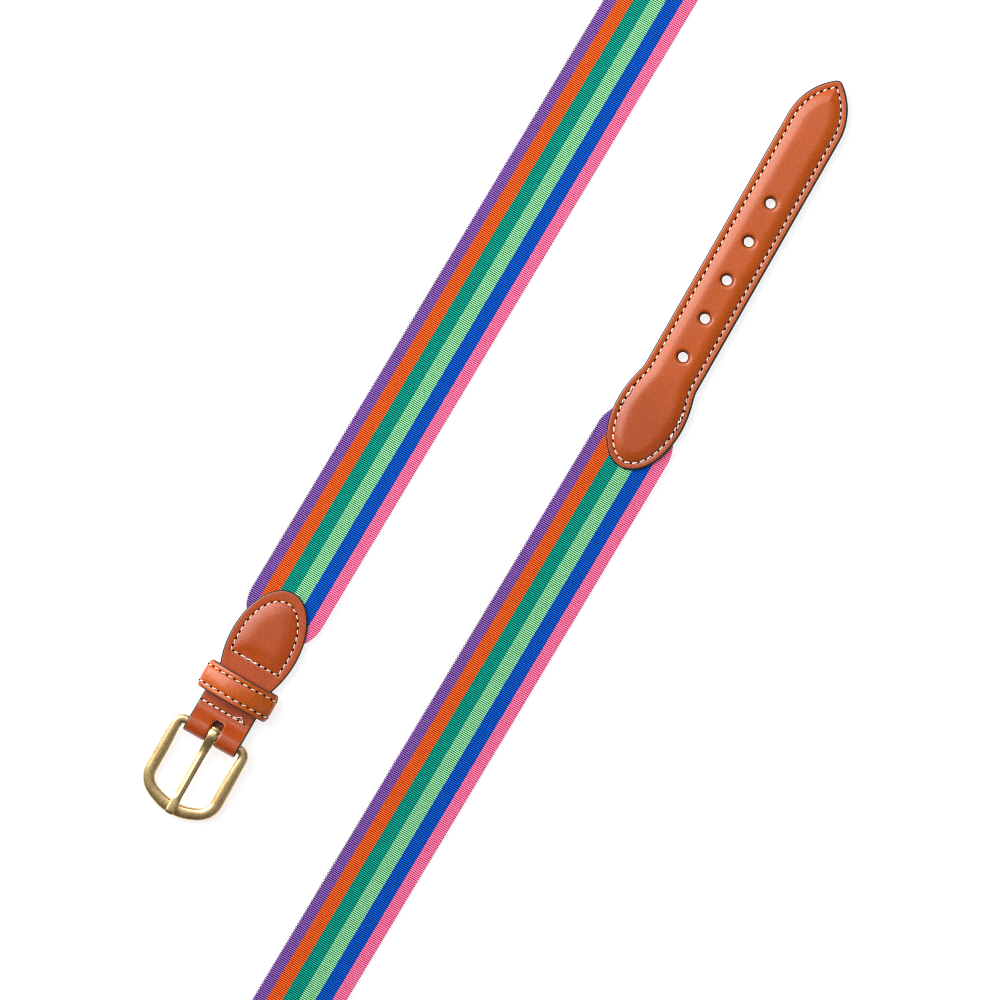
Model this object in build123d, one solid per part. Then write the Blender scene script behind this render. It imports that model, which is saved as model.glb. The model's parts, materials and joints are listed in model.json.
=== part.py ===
"""Striped luggage strap: one long webbing with a punched leather tip and a brass buckle end.

Frame: the origin is in the middle size hole, on the surface that the strap lies on.
+Y runs along the leather tip towards its point, +X across the strap, +Z up. Millimetres.
The two ends lie side by side; the webbing between them stands on its edge in one loop.
"""
import os
from math import asin, atan2, cos, degrees, radians, sin, sqrt

from build123d import *

# ---------------------------------------------------------------- driving dimensions
# Webbing: a plain woven band with a striped ribbon sewn over its face
webbing_width = 35.0
web_thickness = 0.9
ribbon_thickness = 0.5
webbing_end_flat = 1.0          # straight bit left between the two rounded corners of an end

# Leather, one hide for both ends
leather_thickness = 1.25
leather_width = 25.4
tab_side_gap = 1.9              # webbing's edge to the edge of a sewn tab at its widest
pad_height = 1.2                # how far the padding lifts the leather inside the seam
pad_margin = 3.8                # flat margin between the leather's edge and the foot of the pad
pad_slope = 3.0                 # width of the slope up to the top of the pad
pad_top_extra = 1.0             # more flat margin at the top of the buckle end's dome
layer_gap = 0.2                 # gap between the webbing's end and the leather filler around it

# Leather tip, measured from the middle hole
hole_count = 5
hole_pitch = 19.0
hole_radius = 2.3
hole_mouth_radius = 2.8         # at the face, where the punch has pressed the edge down
hole_mouth_depth = 0.5
tip_reach = 98.5                # middle hole to the point
tip_side_radius = 27.8
tip_nose_radius = 2.5
neck_reach = 48.0               # middle hole to where the tab starts to flare
flare_length = 19.0
flare_start_pull = 0.2          # how long the flare keeps the strap's direction, as a share
flare_end_pull = 0.55           # and the tab's direction
tip_tab_length = 25.6           # widest part of the tab to its round end
tip_cover = 28.5                # how far the tip lies over the webbing

# Buckle end, measured along the strap from the heel bar
ends_spacing = 94.9             # centre line of the tip to centre line of the buckle end
tab_stagger = 209.0             # middle hole to the top of the buckle end's tab, along Y
chape_length = 70.1             # heel bar to the top of the tab
tab_dome_length = 26.0          # top of the tab to its widest part
tab_side_radius = 45.0
tab_cover = 24.0                # how far the tab lies over the webbing
pad_seam_reach = 35.9           # heel bar to the straight seam across the tab
pad_seam_gap = 1.0              # straight seam to the foot of the pad
filler_hem = 1.5                # how far the packing reaches past the straight seam
pocket_floor = 10.8             # heel bar to the cross seam below the keeper
fold_ramp = 10.4                # length over which the folded leather opens round the bar
fold_slack = 0.95               # room between the heel bar and the leather round it
wedge_hem = 0.4                 # how far the wedge in the fold reaches past the cross seam
wedge_gap = 1.2                 # the loop round the bar to the wedge's nose
slot_width = 4.9
slot_reach = 6.5                # heel bar to the end of the tongue slot
slot_back_reach = 4.6           # and to its end in the back layer
slot_corner_radius = 1.5

# Keeper: a band round the front leather only, its lower side in the pocket between the layers
keeper_width = 12.8
keeper_reach = 21.8             # heel bar to the middle of the keeper
keeper_side_room = 3.3
keeper_clearance = 0.1          # in the pocket, above and below
keeper_head_room = 0.8          # above a strap tip that has been passed through
keeper_crown = 2.4
keeper_low_radius = 1.2
keeper_top_radius = 3.4

# Buckle
bar_radius = 2.1
buckle_side_gap = 1.2           # leather's edge to the inside of an arm
buckle_length = 35.7            # heel bar to the middle of the front bar
arm_width = 4.8
arm_height = 3.4
rim_slope_width = 1.15          # the slope that falls from the flat top to the rim's outside
rim_slope_drop = 1.35
rim_inner_bevel = 0.6
rim_low_bevel = 0.5
front_corner_radius = 9.0
front_bow_radius = 30.0
shoulder_gap = 0.4              # leather's edge to the end of a shoulder on the heel bar
floor_gap = 0.1

# Tongue
tongue_side_gap = 0.35          # tongue to the side of its slot
tongue_running_gap = 0.07       # radial, on the heel bar
tongue_rest_gap = 0.15          # under the tip, on the front bar
hump_flat = 2.6
hump_fall = 0.05
hump_length = 9.2
root_depth = 1.0                # how far the root reaches below the middle of the heel bar
shank_width = 3.5
shank_height = 1.9
shank_side_height = 1.1
point_width = 4.0
point_length = 7.4
point_corner_radius = 1.2
point_overhang = 0.6            # how far the tongue reaches past the front bar

# How the webbing lies between the two ends
lean = 1.2                      # degrees that the flat runs lean from the leather ends
step_length = 18.0              # the webbing steps down off the back leather over this length
left_run_length = 330.0         # flat run from the buckle end's webbing end
right_run_length = 304.0        # flat run from the tip's webbing end
twist_length = 90.0             # from lying flat to standing on edge
twist_steps = 10
bend_radii = (65.0, 60.0, 50.0)
first_leg_heading = -60.0       # degrees from +X
second_leg_heading = -127.0

# Working sizes
overlap = 1.0                   # how far shapes that are fused or cut run past each other

# ---------------------------------------------------------------- derived sizes
tab_width = webbing_width - 2 * tab_side_gap
webbing_thickness = web_thickness + ribbon_thickness
webbing_end_radius = (webbing_width - webbing_end_flat) / 2
layer_1 = leather_thickness                       # top of the back leather
layer_2 = layer_1 + webbing_thickness             # underside of the front leather
layer_3 = layer_2 + leather_thickness             # top of the front leather's margin
tip_height = layer_3 + pad_height

tip_tab_y = -(neck_reach + flare_length)          # widest part of the tip's tab
tip_end_y = tip_tab_y - tip_tab_length
tip_webbing_y = tip_end_y + tip_cover             # the webbing's end inside the tip

tab_top_y = -tab_stagger
bar_y = tab_top_y - chape_length
tab_wide_y = tab_top_y - tab_dome_length
tab_webbing_y = tab_top_y - tab_cover
seam_row_y = bar_y + pad_seam_reach
cross_seam_y = bar_y + pocket_floor

fold_inner_radius = bar_radius + fold_slack
fold_outer_radius = fold_inner_radius + leather_thickness
bar_z = fold_outer_radius
fold_edge_y = bar_y - fold_outer_radius

arm_x = leather_width / 2 + buckle_side_gap + arm_width / 2
shoulder_x = leather_width / 2 + shoulder_gap
rim_foot_reach = buckle_length + arm_width / 2 - rim_low_bevel
buckle_tilt = degrees(asin((bar_z - arm_height / 2 - floor_gap) / rim_foot_reach))
rim_lip_reach = buckle_length - arm_width / 2 + rim_inner_bevel
rim_lip_height = cos(radians(buckle_tilt)) * arm_height / 2 - sin(radians(buckle_tilt)) * rim_lip_reach

chape_place = Location((-ends_spacing, 0, 0))


# ---------------------------------------------------------------- small helpers
def symmetric_face(half):
    """A closed face from edges drawn on the +X side, from one point on x = 0 to another."""
    return make_face(half + [edge.mirror(Plane.YZ) for edge in half])


def prism(face, low, high):
    """The face raised from height low to height high."""
    return extrude(Pos(0, 0, low) * face, amount=high - low)


def plan_strip(low, high):
    """A plan rectangle from y = low to y = high, wider than either tab."""
    return Pos(0, (low + high) / 2, 0) * Rectangle(2 * tab_width, high - low)


def joined(pieces):
    """All pieces fused into one solid."""
    whole = pieces[0]
    for piece in pieces[1:]:
        whole = whole + piece
    return whole


def step_curve(y_start, z_start, y_end, z_end):
    """A smooth step of two equal arcs, level at both ends."""
    middle = ((y_start + y_end) / 2, (z_start + z_end) / 2)
    return [TangentArc((y_start, z_start), middle, tangent=(y_end - y_start, 0)),
            TangentArc((y_end, z_end), middle, tangent=(y_start - y_end, 0))]


# ---------------------------------------------------------------- the webbing's path
def along(heading):
    return Vector(cos(radians(heading)), sin(radians(heading)), 0)


def right_of(heading):
    return Vector(sin(radians(heading)), -cos(radians(heading)), 0)


run_heading = 90 - lean
end_heading = run_heading - 360                   # the loop makes one clockwise turn


def run_point(start, distance):
    return start + along(run_heading) * distance


left_run_start = Vector(-ends_spacing, tab_webbing_y, 0)
right_run_start = Vector(0, tip_webbing_y, 0)
loop_start = run_point(left_run_start, left_run_length + twist_length)
loop_finish = run_point(right_run_start, -(right_run_length + twist_length))


def leg_lengths():
    """Lengths of the loop's two straight legs, so that its bends meet the second twist."""
    headings = (run_heading, first_leg_heading, second_leg_heading, end_heading)
    bends = Vector(0, 0, 0)
    for radius, before, after in zip(bend_radii, headings, headings[1:]):
        bends = bends + (right_of(before) - right_of(after)) * radius
    gap = loop_finish - loop_start - bends
    first, second = along(first_leg_heading), along(second_leg_heading)
    cross = first.X * second.Y - first.Y * second.X
    return ((gap.X * second.Y - gap.Y * second.X) / cross,
            (first.X * gap.Y - first.Y * gap.X) / cross)


def loop_line(offset):
    """The loop's line in plan, moved outwards by offset."""
    first_leg, second_leg = leg_lengths()
    edges = []
    point = loop_start - right_of(run_heading) * offset
    heading = run_heading
    turns = ((bend_radii[0], first_leg_heading, first_leg),
             (bend_radii[1], second_leg_heading, second_leg),
             (bend_radii[2], end_heading, 0))
    for radius, next_heading, leg in turns:
        reach = radius + offset
        centre = point + right_of(heading) * reach
        middle = (heading + next_heading) / 2
        end = centre - right_of(next_heading) * reach
        edges.append(ThreePointArc(point, centre - right_of(middle) * reach, end))
        point, heading = end, next_heading
        if leg:
            edges.append(Line(point, point + along(heading) * leg))
            point = point + along(heading) * leg
    return edges


def band_limits(layer):
    """Lowest and highest distance of a layer from the middle of the webbing's thickness."""
    half = webbing_thickness / 2
    return {"web": (-half, -half + web_thickness), "ribbon": (-half + web_thickness, half)}[layer]


def standing_loop(layer):
    low, high = band_limits(layer)
    inner, outer = loop_line(low), loop_line(high)
    caps = [Line(inner[0] @ 0, outer[0] @ 0), Line(inner[-1] @ 1, outer[-1] @ 1)]
    return prism(make_face(inner + outer + caps), 0, webbing_width)


def twisted_section(layer, start, distance, angle):
    """The layer's section where the webbing has turned by angle about its own length."""
    low, high = band_limits(layer)
    turned = radians(angle)
    middle = webbing_width / 2 * sin(turned) + webbing_thickness / 2 * cos(turned)
    across = along(run_heading - 90) * cos(turned) + Vector(0, 0, sin(turned))
    origin = run_point(start, distance) + Vector(0, 0, middle)
    plane = Plane(origin=origin, x_dir=across, z_dir=-along(run_heading))
    return plane * Pos(0, (low + high) / 2, 0) * Rectangle(webbing_width, high - low)


def twist(layer, start, first_distance, first_angle, last_angle):
    """The stretch in which the webbing turns between flat and on edge."""
    sections = []
    for step in range(twist_steps + 1):
        share = step / twist_steps
        eased = share * share * (3 - 2 * share)
        angle = first_angle + (last_angle - first_angle) * eased
        sections.append(twisted_section(layer, start, first_distance + share * twist_length, angle))
    return loft(sections, ruled=True)


def rounded_end(length):
    """Plan of a run from its rounded end at y = 0 to y = length."""
    radius = webbing_end_radius
    return make_face([
        Line((-webbing_end_flat / 2, 0), (webbing_end_flat / 2, 0)),
        CenterArc((webbing_end_flat / 2, radius), radius, 270, 90),
        Line((webbing_width / 2, radius), (webbing_width / 2, length)),
        Line((webbing_width / 2, length), (-webbing_width / 2, length)),
        Line((-webbing_width / 2, length), (-webbing_width / 2, radius)),
        CenterArc((-webbing_end_flat / 2, radius), radius, 180, 90),
    ])


def flat_run(layer, cover, length):
    """A flat run from its end between the leathers, down a small step and along the floor."""
    low, high = band_limits(layer)
    bottom, top = low + webbing_thickness / 2, high + webbing_thickness / 2
    step_end = cover + step_length
    profile = make_face([
        Line((0, layer_1 + bottom), (cover, layer_1 + bottom)),
        *step_curve(cover, layer_1 + bottom, step_end, bottom),
        Line((step_end, bottom), (length, bottom)),
        Line((length, bottom), (length, top)),
        Line((length, top), (step_end, top)),
        *step_curve(cover, layer_1 + top, step_end, top),
        Line((cover, layer_1 + top), (0, layer_1 + top)),
        Line((0, layer_1 + top), (0, layer_1 + bottom)),
    ])
    slab = extrude(Plane.YZ * profile, amount=webbing_width / 2, both=True)
    return slab & prism(rounded_end(length), -overlap, layer_3)


def left_run_place():
    return Location(left_run_start, (0, 0, -lean))


def right_run_place():
    return Location(right_run_start, (0, 0, 180 - lean))


def webbing(layer):
    """One layer of the webbing, from end to end."""
    return joined([
        left_run_place() * flat_run(layer, tab_cover, left_run_length),
        twist(layer, left_run_start, left_run_length, 0, 90),
        standing_loop(layer),
        twist(layer, right_run_start, -(right_run_length + twist_length), 90, 0),
        right_run_place() * flat_run(layer, tip_cover, right_run_length),
    ])


# ---------------------------------------------------------------- the leather tip
def tip_outline(inset):
    """Outline of the tip: a pointed strap end that flares into a round-ended tab."""
    half = leather_width / 2 - inset
    tab_half = tab_width / 2 - inset
    arc_x = leather_width / 2 - tip_side_radius
    reach = sqrt((tip_side_radius - tip_nose_radius) ** 2 - arc_x ** 2)
    arc_y = tip_reach - tip_nose_radius - reach
    radius = tip_side_radius - inset
    nose = tip_nose_radius - inset
    edges = [Line((half, -neck_reach), (half, arc_y))]
    if nose > 0:
        angle = degrees(atan2(reach, -arc_x))
        edges += [CenterArc((arc_x, arc_y), radius, 0, angle),
                  CenterArc((0, arc_y + reach), nose, angle, 90 - angle)]
    else:
        angle = degrees(atan2(sqrt(radius ** 2 - arc_x ** 2), -arc_x))
        edges.append(CenterArc((arc_x, arc_y), radius, 0, angle))
    edges += [
        Bezier((half, -neck_reach), (half, -neck_reach - flare_start_pull * flare_length),
               (tab_half, tip_tab_y + flare_end_pull * flare_length), (tab_half, tip_tab_y)),
        EllipticalCenterArc((0, tip_tab_y), tab_half, tip_tab_length - inset,
                            start_angle=270, arc_size=90),
    ]
    return symmetric_face(edges)


def size_holes():
    """The punched holes, each with its pressed mouth in the face leather."""
    offsets = [(step - (hole_count - 1) / 2) * hole_pitch for step in range(hole_count)]
    mouth = Pos(0, 0, tip_height - hole_mouth_depth / 2) * Cone(
        hole_radius, hole_mouth_radius, hole_mouth_depth)
    hole = Cylinder(hole_radius, 4 * tip_height) + mouth
    return joined([Pos(0, y, 0) * hole for y in offsets])


def tip_pad(margin, base):
    """The padded rise inside the tip's seam."""
    return loft([Pos(0, 0, base) * tip_outline(margin),
                 Pos(0, 0, base + pad_height) * tip_outline(margin + pad_slope)], ruled=True)


def webbing_end_cut(place, cover):
    """The room that the webbing's end takes between the leathers."""
    grown = offset(rounded_end(2 * cover), amount=layer_gap)
    return place * prism(grown, layer_1, layer_2)


def tip_back_leather():
    """The flat lining of the tip."""
    return prism(tip_outline(0), 0, layer_1) - size_holes()


def tip_filler():
    """Leather packing between the tip's two faces: it fills up to the webbing's end."""
    keep = plan_strip(tip_webbing_y - webbing_end_radius, tip_reach + overlap)
    core = prism(tip_outline(0) & keep, layer_1, layer_2)
    core = core - webbing_end_cut(right_run_place(), tip_cover)
    return core + tip_pad(pad_margin + leather_thickness, layer_2) - size_holes()


def tip_front_leather():
    """The face leather of the tip, raised over the padding inside its seam."""
    plate = prism(tip_outline(0), layer_2, layer_3)
    shell = plate + tip_pad(pad_margin, layer_3)
    hollow = tip_pad(pad_margin + leather_thickness, layer_2)
    return shell - hollow - size_holes()


# ---------------------------------------------------------------- the leather round the heel bar
def chape_outline():
    """Plan of the chape: a domed tab that narrows to the strap's width at the buckle."""
    half, tab_half = leather_width / 2, tab_width / 2
    drop = sqrt(tab_side_radius ** 2 - (tab_side_radius - tab_half + half) ** 2)
    turn = degrees(asin(drop / tab_side_radius))
    low = fold_edge_y - overlap
    return symmetric_face([
        Line((0, low), (half, low)),
        Line((half, low), (half, tab_wide_y - drop)),
        CenterArc((tab_half - tab_side_radius, tab_wide_y), tab_side_radius, -turn, turn),
        EllipticalCenterArc((0, tab_wide_y), tab_half, tab_dome_length,
                            start_angle=0, arc_size=90),
    ])


def chape_profile():
    """Side view of the folded strip: back layer, loop round the heel bar, front layer."""
    ramp_end = bar_y + fold_ramp
    inner_top, outer_top = bar_z + fold_inner_radius, bar_z + fold_outer_radius
    return make_face([
        Line((tab_top_y, 0), (bar_y, 0)),
        ThreePointArc((bar_y, 0), (fold_edge_y, bar_z), (bar_y, outer_top)),
        *step_curve(bar_y, outer_top, ramp_end, layer_3),
        Line((ramp_end, layer_3), (tab_top_y, layer_3)),
        Line((tab_top_y, layer_3), (tab_top_y, layer_2)),
        Line((tab_top_y, layer_2), (ramp_end, layer_2)),
        *step_curve(bar_y, inner_top, ramp_end, layer_2),
        ThreePointArc((bar_y, inner_top), (bar_y - fold_inner_radius, bar_z), (bar_y, layer_1)),
        Line((bar_y, layer_1), (tab_top_y, layer_1)),
        Line((tab_top_y, layer_1), (tab_top_y, 0)),
    ])


def slot_part(reach, low_z, high_z):
    """The tongue slot between two heights, closed at a reach behind the heel bar."""
    low = fold_edge_y - 2 * overlap
    high = bar_y + reach
    plan = Pos(0, (low + high) / 2, 0) * Rectangle(slot_width, high - low)
    plan = fillet(plan.vertices().group_by(Axis.Y)[-1], slot_corner_radius)
    return prism(plan, low_z, high_z)


def tongue_slot():
    """The slot through both layers and the fold, shorter in the back layer."""
    return (slot_part(slot_reach, layer_1, bar_z + fold_outer_radius + overlap)
            + slot_part(slot_back_reach, -overlap, layer_1))


def chape_pad(margin, base):
    """The padded rise inside the tab's seam, domed like the tab and square at its foot."""
    def outline(inset):
        half = tab_width / 2 - inset
        foot = seam_row_y + pad_seam_gap + inset - pad_margin
        return symmetric_face([
            Line((0, foot), (half, foot)),
            Line((half, foot), (half, tab_wide_y)),
            EllipticalCenterArc((0, tab_wide_y), half, tab_dome_length - inset - pad_top_extra,
                                start_angle=0, arc_size=90),
        ])
    return loft([Pos(0, 0, base) * outline(margin),
                 Pos(0, 0, base + pad_height) * outline(margin + pad_slope)], ruled=True)


def chape_leather():
    """One strip of leather folded round the heel bar, with a raised pad on its tab."""
    strip = extrude(Plane.YZ * chape_profile(), amount=tab_width, both=True)
    strip = strip & prism(chape_outline(), -overlap, bar_z + fold_outer_radius + overlap)
    strip = strip + chape_pad(pad_margin, layer_3)
    strip = strip - chape_pad(pad_margin + leather_thickness, layer_2)
    return chape_place * (strip - tongue_slot())


def chape_filler():
    """Leather packing under the tab: it fills up to the webbing's end and makes the pad."""
    keep = plan_strip(seam_row_y - filler_hem, tab_webbing_y + webbing_end_radius)
    core = chape_place * prism(chape_outline() & keep, layer_1, layer_2)
    core = core - webbing_end_cut(left_run_place(), tab_cover)
    return core + chape_place * chape_pad(pad_margin + leather_thickness, layer_2)


def fold_filler():
    """Leather wedge between the layers at the fold, below the cross seam."""
    ramp_end = bar_y + fold_ramp
    high = cross_seam_y + wedge_hem
    inner_top = bar_z + fold_inner_radius
    wedge = make_face([
        Line((bar_y, layer_1), (high, layer_1)),
        Line((high, layer_1), (high, layer_2)),
        Line((high, layer_2), (ramp_end, layer_2)),
        *step_curve(bar_y, inner_top, ramp_end, layer_2),
        Line((bar_y, inner_top), (bar_y, layer_1)),
    ])
    block = extrude(Plane.YZ * wedge, amount=leather_width / 2, both=True)
    bar_room = Pos(0, bar_y, bar_z) * Rot(0, 90, 0) * Cylinder(
        fold_inner_radius + wedge_gap, 2 * leather_width)
    return chape_place * (block - bar_room - tongue_slot())


def keeper_loop():
    """The band across the front leather that holds a strap tip down."""
    floor_z = layer_2 - keeper_clearance
    wall = webbing_thickness - 2 * keeper_clearance
    half = leather_width / 2 + keeper_side_room
    top = layer_3 + tip_height + keeper_head_room
    inside = make_face([
        Line((-half, floor_z), (half, floor_z)),
        Line((half, floor_z), (half, top - keeper_crown)),
        ThreePointArc((half, top - keeper_crown), (0, top), (-half, top - keeper_crown)),
        Line((-half, top - keeper_crown), (-half, floor_z)),
    ])
    corners = inside.vertices().group_by(Axis.Y)
    inside = fillet(corners[0], keeper_low_radius)
    inside = fillet(inside.vertices().group_by(Axis.Y)[-1], keeper_top_radius)
    ring = offset(inside, amount=wall) - inside
    band = extrude(Plane.XZ * ring, amount=keeper_width / 2, both=True)
    return chape_place * Pos(0, bar_y + keeper_reach, 0) * band


# ---------------------------------------------------------------- the buckle
def frame_path():
    """Centre line of the frame: shoulder, arm, round corner and bowed front, then back."""
    heel = arm_x - shoulder_x
    bow_y = -(buckle_length - front_bow_radius)
    corner_x = arm_x - front_corner_radius
    reach = sqrt((front_bow_radius - front_corner_radius) ** 2 - corner_x ** 2)
    corner_y = bow_y - reach
    turn = degrees(atan2(reach, corner_x))
    half = [
        CenterArc((shoulder_x, -heel), heel, 0, 90),
        Line((arm_x, -heel), (arm_x, corner_y)),
        CenterArc((corner_x, corner_y), front_corner_radius, -turn, turn),
        CenterArc((0, bow_y), front_bow_radius, -90, 90 - turn),
    ]
    return Wire(half + [edge.mirror(Plane.YZ) for edge in half])


def rim_section():
    """The cast rim's section: a flat top with a wide outer slope and narrow bevels."""
    side, top = arm_width / 2, arm_height / 2
    return make_face(Polyline(
        (side, top - rim_slope_drop), (side - rim_slope_width, top),
        (rim_inner_bevel - side, top), (-side, top - rim_inner_bevel),
        (-side, rim_low_bevel - top), (rim_low_bevel - side, -top),
        (side - rim_low_bevel, -top), (side, rim_low_bevel - top), close=True))


def buckle_frame():
    """The rim swept along its path, with the heel bar across it, leaning on the floor."""
    path = frame_path()
    start = Plane(origin=(shoulder_x, 0, 0), x_dir=(0, 1, 0), z_dir=(1, 0, 0))
    rim = sweep(start * rim_section(), path=path)
    bar = Rot(0, 90, 0) * Cylinder(bar_radius, 2 * shoulder_x)
    placed = Pos(0, bar_y, bar_z) * Rot(buckle_tilt, 0, 0) * (rim + bar)
    return chape_place * placed


def shank_section(forward, width, bottom):
    """A ridged section of the tongue, forward of the heel bar."""
    points = [(-width / 2, bottom), (width / 2, bottom), (width / 2, bottom + shank_side_height),
              (0, bottom + shank_height), (-width / 2, bottom + shank_side_height)]
    plane = Plane(origin=(0, -forward, 0), x_dir=(1, 0, 0), z_dir=(0, -1, 0))
    return plane * make_face(Polyline(*points, close=True))


def buckle_tongue():
    """The tongue: an eye on the heel bar, a humped root, a ridged shank and a flat point."""
    eye_radius = fold_outer_radius - floor_gap
    root_width = slot_width - 2 * tongue_side_gap
    rest_bottom = rim_lip_height + tongue_rest_gap
    shank_bottom = rest_bottom + tongue_rest_gap
    reach = buckle_length + arm_width / 2 + point_overhang
    point_start = reach - point_length
    eye = Rot(0, 90, 0) * Cylinder(eye_radius, root_width)
    hump = make_face(Polyline(
        (0, eye_radius), (-hump_flat, eye_radius - hump_fall),
        (-hump_length, shank_bottom + shank_height), (-hump_length, shank_bottom),
        (-(bar_radius + eye_radius) / 2, -root_depth), (0, -bar_radius), close=True))
    root = extrude(Plane.YZ * hump, amount=root_width / 2, both=True)
    shank = loft([shank_section(hump_length - overlap, shank_width, shank_bottom),
                  shank_section(point_start + overlap, shank_width, rest_bottom)])
    plan = Pos(0, -(point_start + reach) / 2, 0) * Rectangle(point_width, point_length)
    plan = fillet(plan.vertices().group_by(Axis.Y)[0], point_corner_radius)
    point = prism(plan, rest_bottom, rest_bottom + shank_height)
    hole = Rot(0, 90, 0) * Cylinder(bar_radius + tongue_running_gap, 2 * root_width)
    tongue = joined([eye, root, shank, point]) - hole
    return chape_place * Pos(0, bar_y, bar_z) * tongue


# ---------------------------------------------------------------- write the pieces
pieces = {
    "web_core": lambda: webbing("web"),
    "ribbon_face": lambda: webbing("ribbon"),
    "tip_back_leather": tip_back_leather,
    "tip_filler": tip_filler,
    "tip_front_leather": tip_front_leather,
    "chape_leather": chape_leather,
    "chape_filler": chape_filler,
    "fold_filler": fold_filler,
    "keeper_loop": keeper_loop,
    "buckle_frame": buckle_frame,
    "buckle_tongue": buckle_tongue,
}

os.makedirs("parts", exist_ok=True)
for name, make in pieces.items():
    export_step(make(), f"parts/{name}.step")
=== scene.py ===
"""Looks of the striped luggage strap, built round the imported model.

Shapes are worked out in millimetres in the row frame, and scaled to metres as each mesh is made.
"""

import json
import math
import random

import bmesh
import bpy
import numpy as np
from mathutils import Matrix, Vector


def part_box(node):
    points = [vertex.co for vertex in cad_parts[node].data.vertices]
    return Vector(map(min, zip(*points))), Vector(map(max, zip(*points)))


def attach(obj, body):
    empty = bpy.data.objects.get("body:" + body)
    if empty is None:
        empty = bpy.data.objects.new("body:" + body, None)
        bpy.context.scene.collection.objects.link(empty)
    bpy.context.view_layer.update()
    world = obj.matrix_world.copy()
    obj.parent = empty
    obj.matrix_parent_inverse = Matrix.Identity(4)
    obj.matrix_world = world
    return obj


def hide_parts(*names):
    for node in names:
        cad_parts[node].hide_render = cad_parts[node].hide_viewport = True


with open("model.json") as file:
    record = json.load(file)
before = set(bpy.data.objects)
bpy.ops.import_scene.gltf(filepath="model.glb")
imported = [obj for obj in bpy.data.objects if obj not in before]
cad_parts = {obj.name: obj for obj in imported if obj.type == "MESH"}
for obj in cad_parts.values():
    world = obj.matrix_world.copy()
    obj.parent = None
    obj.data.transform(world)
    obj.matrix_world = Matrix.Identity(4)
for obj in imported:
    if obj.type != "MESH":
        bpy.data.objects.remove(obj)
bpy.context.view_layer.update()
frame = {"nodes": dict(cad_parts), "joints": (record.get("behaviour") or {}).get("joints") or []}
chance = random.Random(7)

MM = 1000.0
up = np.array([0.0, 0.0, 1.0])
mirror = np.array([-1, 1])


# ---------------- places read from the frame
def node_box(node):
    return [np.array(corner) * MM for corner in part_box(node)]


tip_low, tip_high = node_box("tip_front_leather")
keeper_low, keeper_high = node_box("keeper_loop")
buckle_low, buckle_high = node_box("buckle_frame")
tongue_low = node_box("buckle_tongue")[0]
tab_top_y = node_box("chape_leather")[1][1]
bar = np.array([j["pos_m"] for j in frame["joints"] if j["name"] == "frame_hinge"][0]) * MM

leather = node_box("tip_back_leather")[1][2]      # thickness of a layer
margin_top = tip_low[2] + leather                 # top of the front leather's margin
pad_rise = tip_high[2] - margin_top
tab_half = tip_high[0]
strap_half = tab_half - 2.9
end_x = bar[0]                                    # centre line of the buckle end

# ---------------- sizes, in millimetres
web_thickness = 0.9
ribbon_thickness = tip_low[2] - leather - web_thickness
webbing_thickness = web_thickness + ribbon_thickness
webbing_half = 17.5
even_half = 12.0                                  # the middle that keeps its width at rounded ends
end_flat_half = 0.5
hidden_end = 5.5                                  # left out inside the leather
tip_cover = 28.5
tab_cover = 24.0
step_length = 18.0

run_heading = 90 - 1.2
leg_headings = (-60.0, -127.0)
bend_radii = (65.0, 60.0, 50.0)
left_run_length = 330.0
right_run_length = 304.0
twist_length = 90.0

stripe_edges = (-17.2, -12.4, -6.35, -0.15, 5.8, 12.1, 17.5)
rib_pitch = 0.85
rib_height = 0.13
rib_places = np.array([0.0, 0.2, 0.5, 0.8])       # along a rib, as shares of the pitch,
rib_rises = np.array([0.0, 0.72, 1.0, 0.72])      # its height there,
rib_teeth = np.array([0.0, 0.8, 1.0, 0.8])        # and how far its ends jut out or in
rib_juts = (-0.2, 0.06)                           # at the left edge and the right
web_cord_pitch = 1.6

tip_side_radius = 27.8
tip_nose_radius = 2.5
neck_y = -48.0
tip_tab_y = -67.0
flare_pulls = (0.2, 0.55)
hole_pitch = 19.0
hole_count = 5
hole_radius = 2.2
hole_mouth = 2.9
mouth_shift = np.array([-0.22, 0.08])
bore_shift = 0.16
hole_block_half = 4.0
mouth_dip, mouth_fade = 0.34, 0.6                 # of the face round a hole's mouth

edge_radius = 0.8
seam_inset = 3.05
groove_depth = 0.28
groove_width = 0.55
pad_slope = 5.6
pad_extra = 0.4
paint_reach_lit_left, paint_reach_shaded_right = 0.4, 0.72           # how far the edge paint reaches in on the tip: little on the lit left, more on the right as painted shade
painted_lining, painted_strip, painted_keeper = 0.3, 0.55, 0.42

tab_dome = 26.0
tab_side_radius = 45.0
seam_d_half = 12.0
seam_d_top = 5.3
seam_row_reach = 35.7
cross_seam_reach, cross_seam_half = 10.8, 12.4
tab_margin, swell_reach, swell_fade = 3.6, 3.0, 2.5      # the swell outside the D
fold_ramp = 10.4
slot_half, slot_reach = 2.45, 6.5
slot_back_half, slot_back_reach = 2.2, 3.9
slot_corner = 1.5
slot_block_margin = 1.6

keeper_wall = 1.2
keeper_row = 3.95

tip_stitch = 3.35
tab_stitch = 3.15
cross_stitch = 3.05
keeper_stitch = 3.9
long_stitch_y = -72.0                             # towards the round end the tip's are longer,
long_gain, hole_loss, long_fade = 0.24, 0.4, 8.0  # and their holes smaller

arm_width = 4.8
arm_height = 3.4
buckle_length = 35.7
bar_radius = 2.1
front_corner = 9.0
front_bow = 30.0
floor_gap = 0.1
heel_share, arm_gain, front_gain = 0.87, 0.24, 0.1       # the rim's width, as shares of arm_width
arm_shift, front_shift = 0.2, 0.65                # inwards and outwards


# ---------------- mesh building
def add_object(name, data):
    thing = bpy.data.objects.new(name, data)
    bpy.context.scene.collection.objects.link(thing)
    return thing


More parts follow.
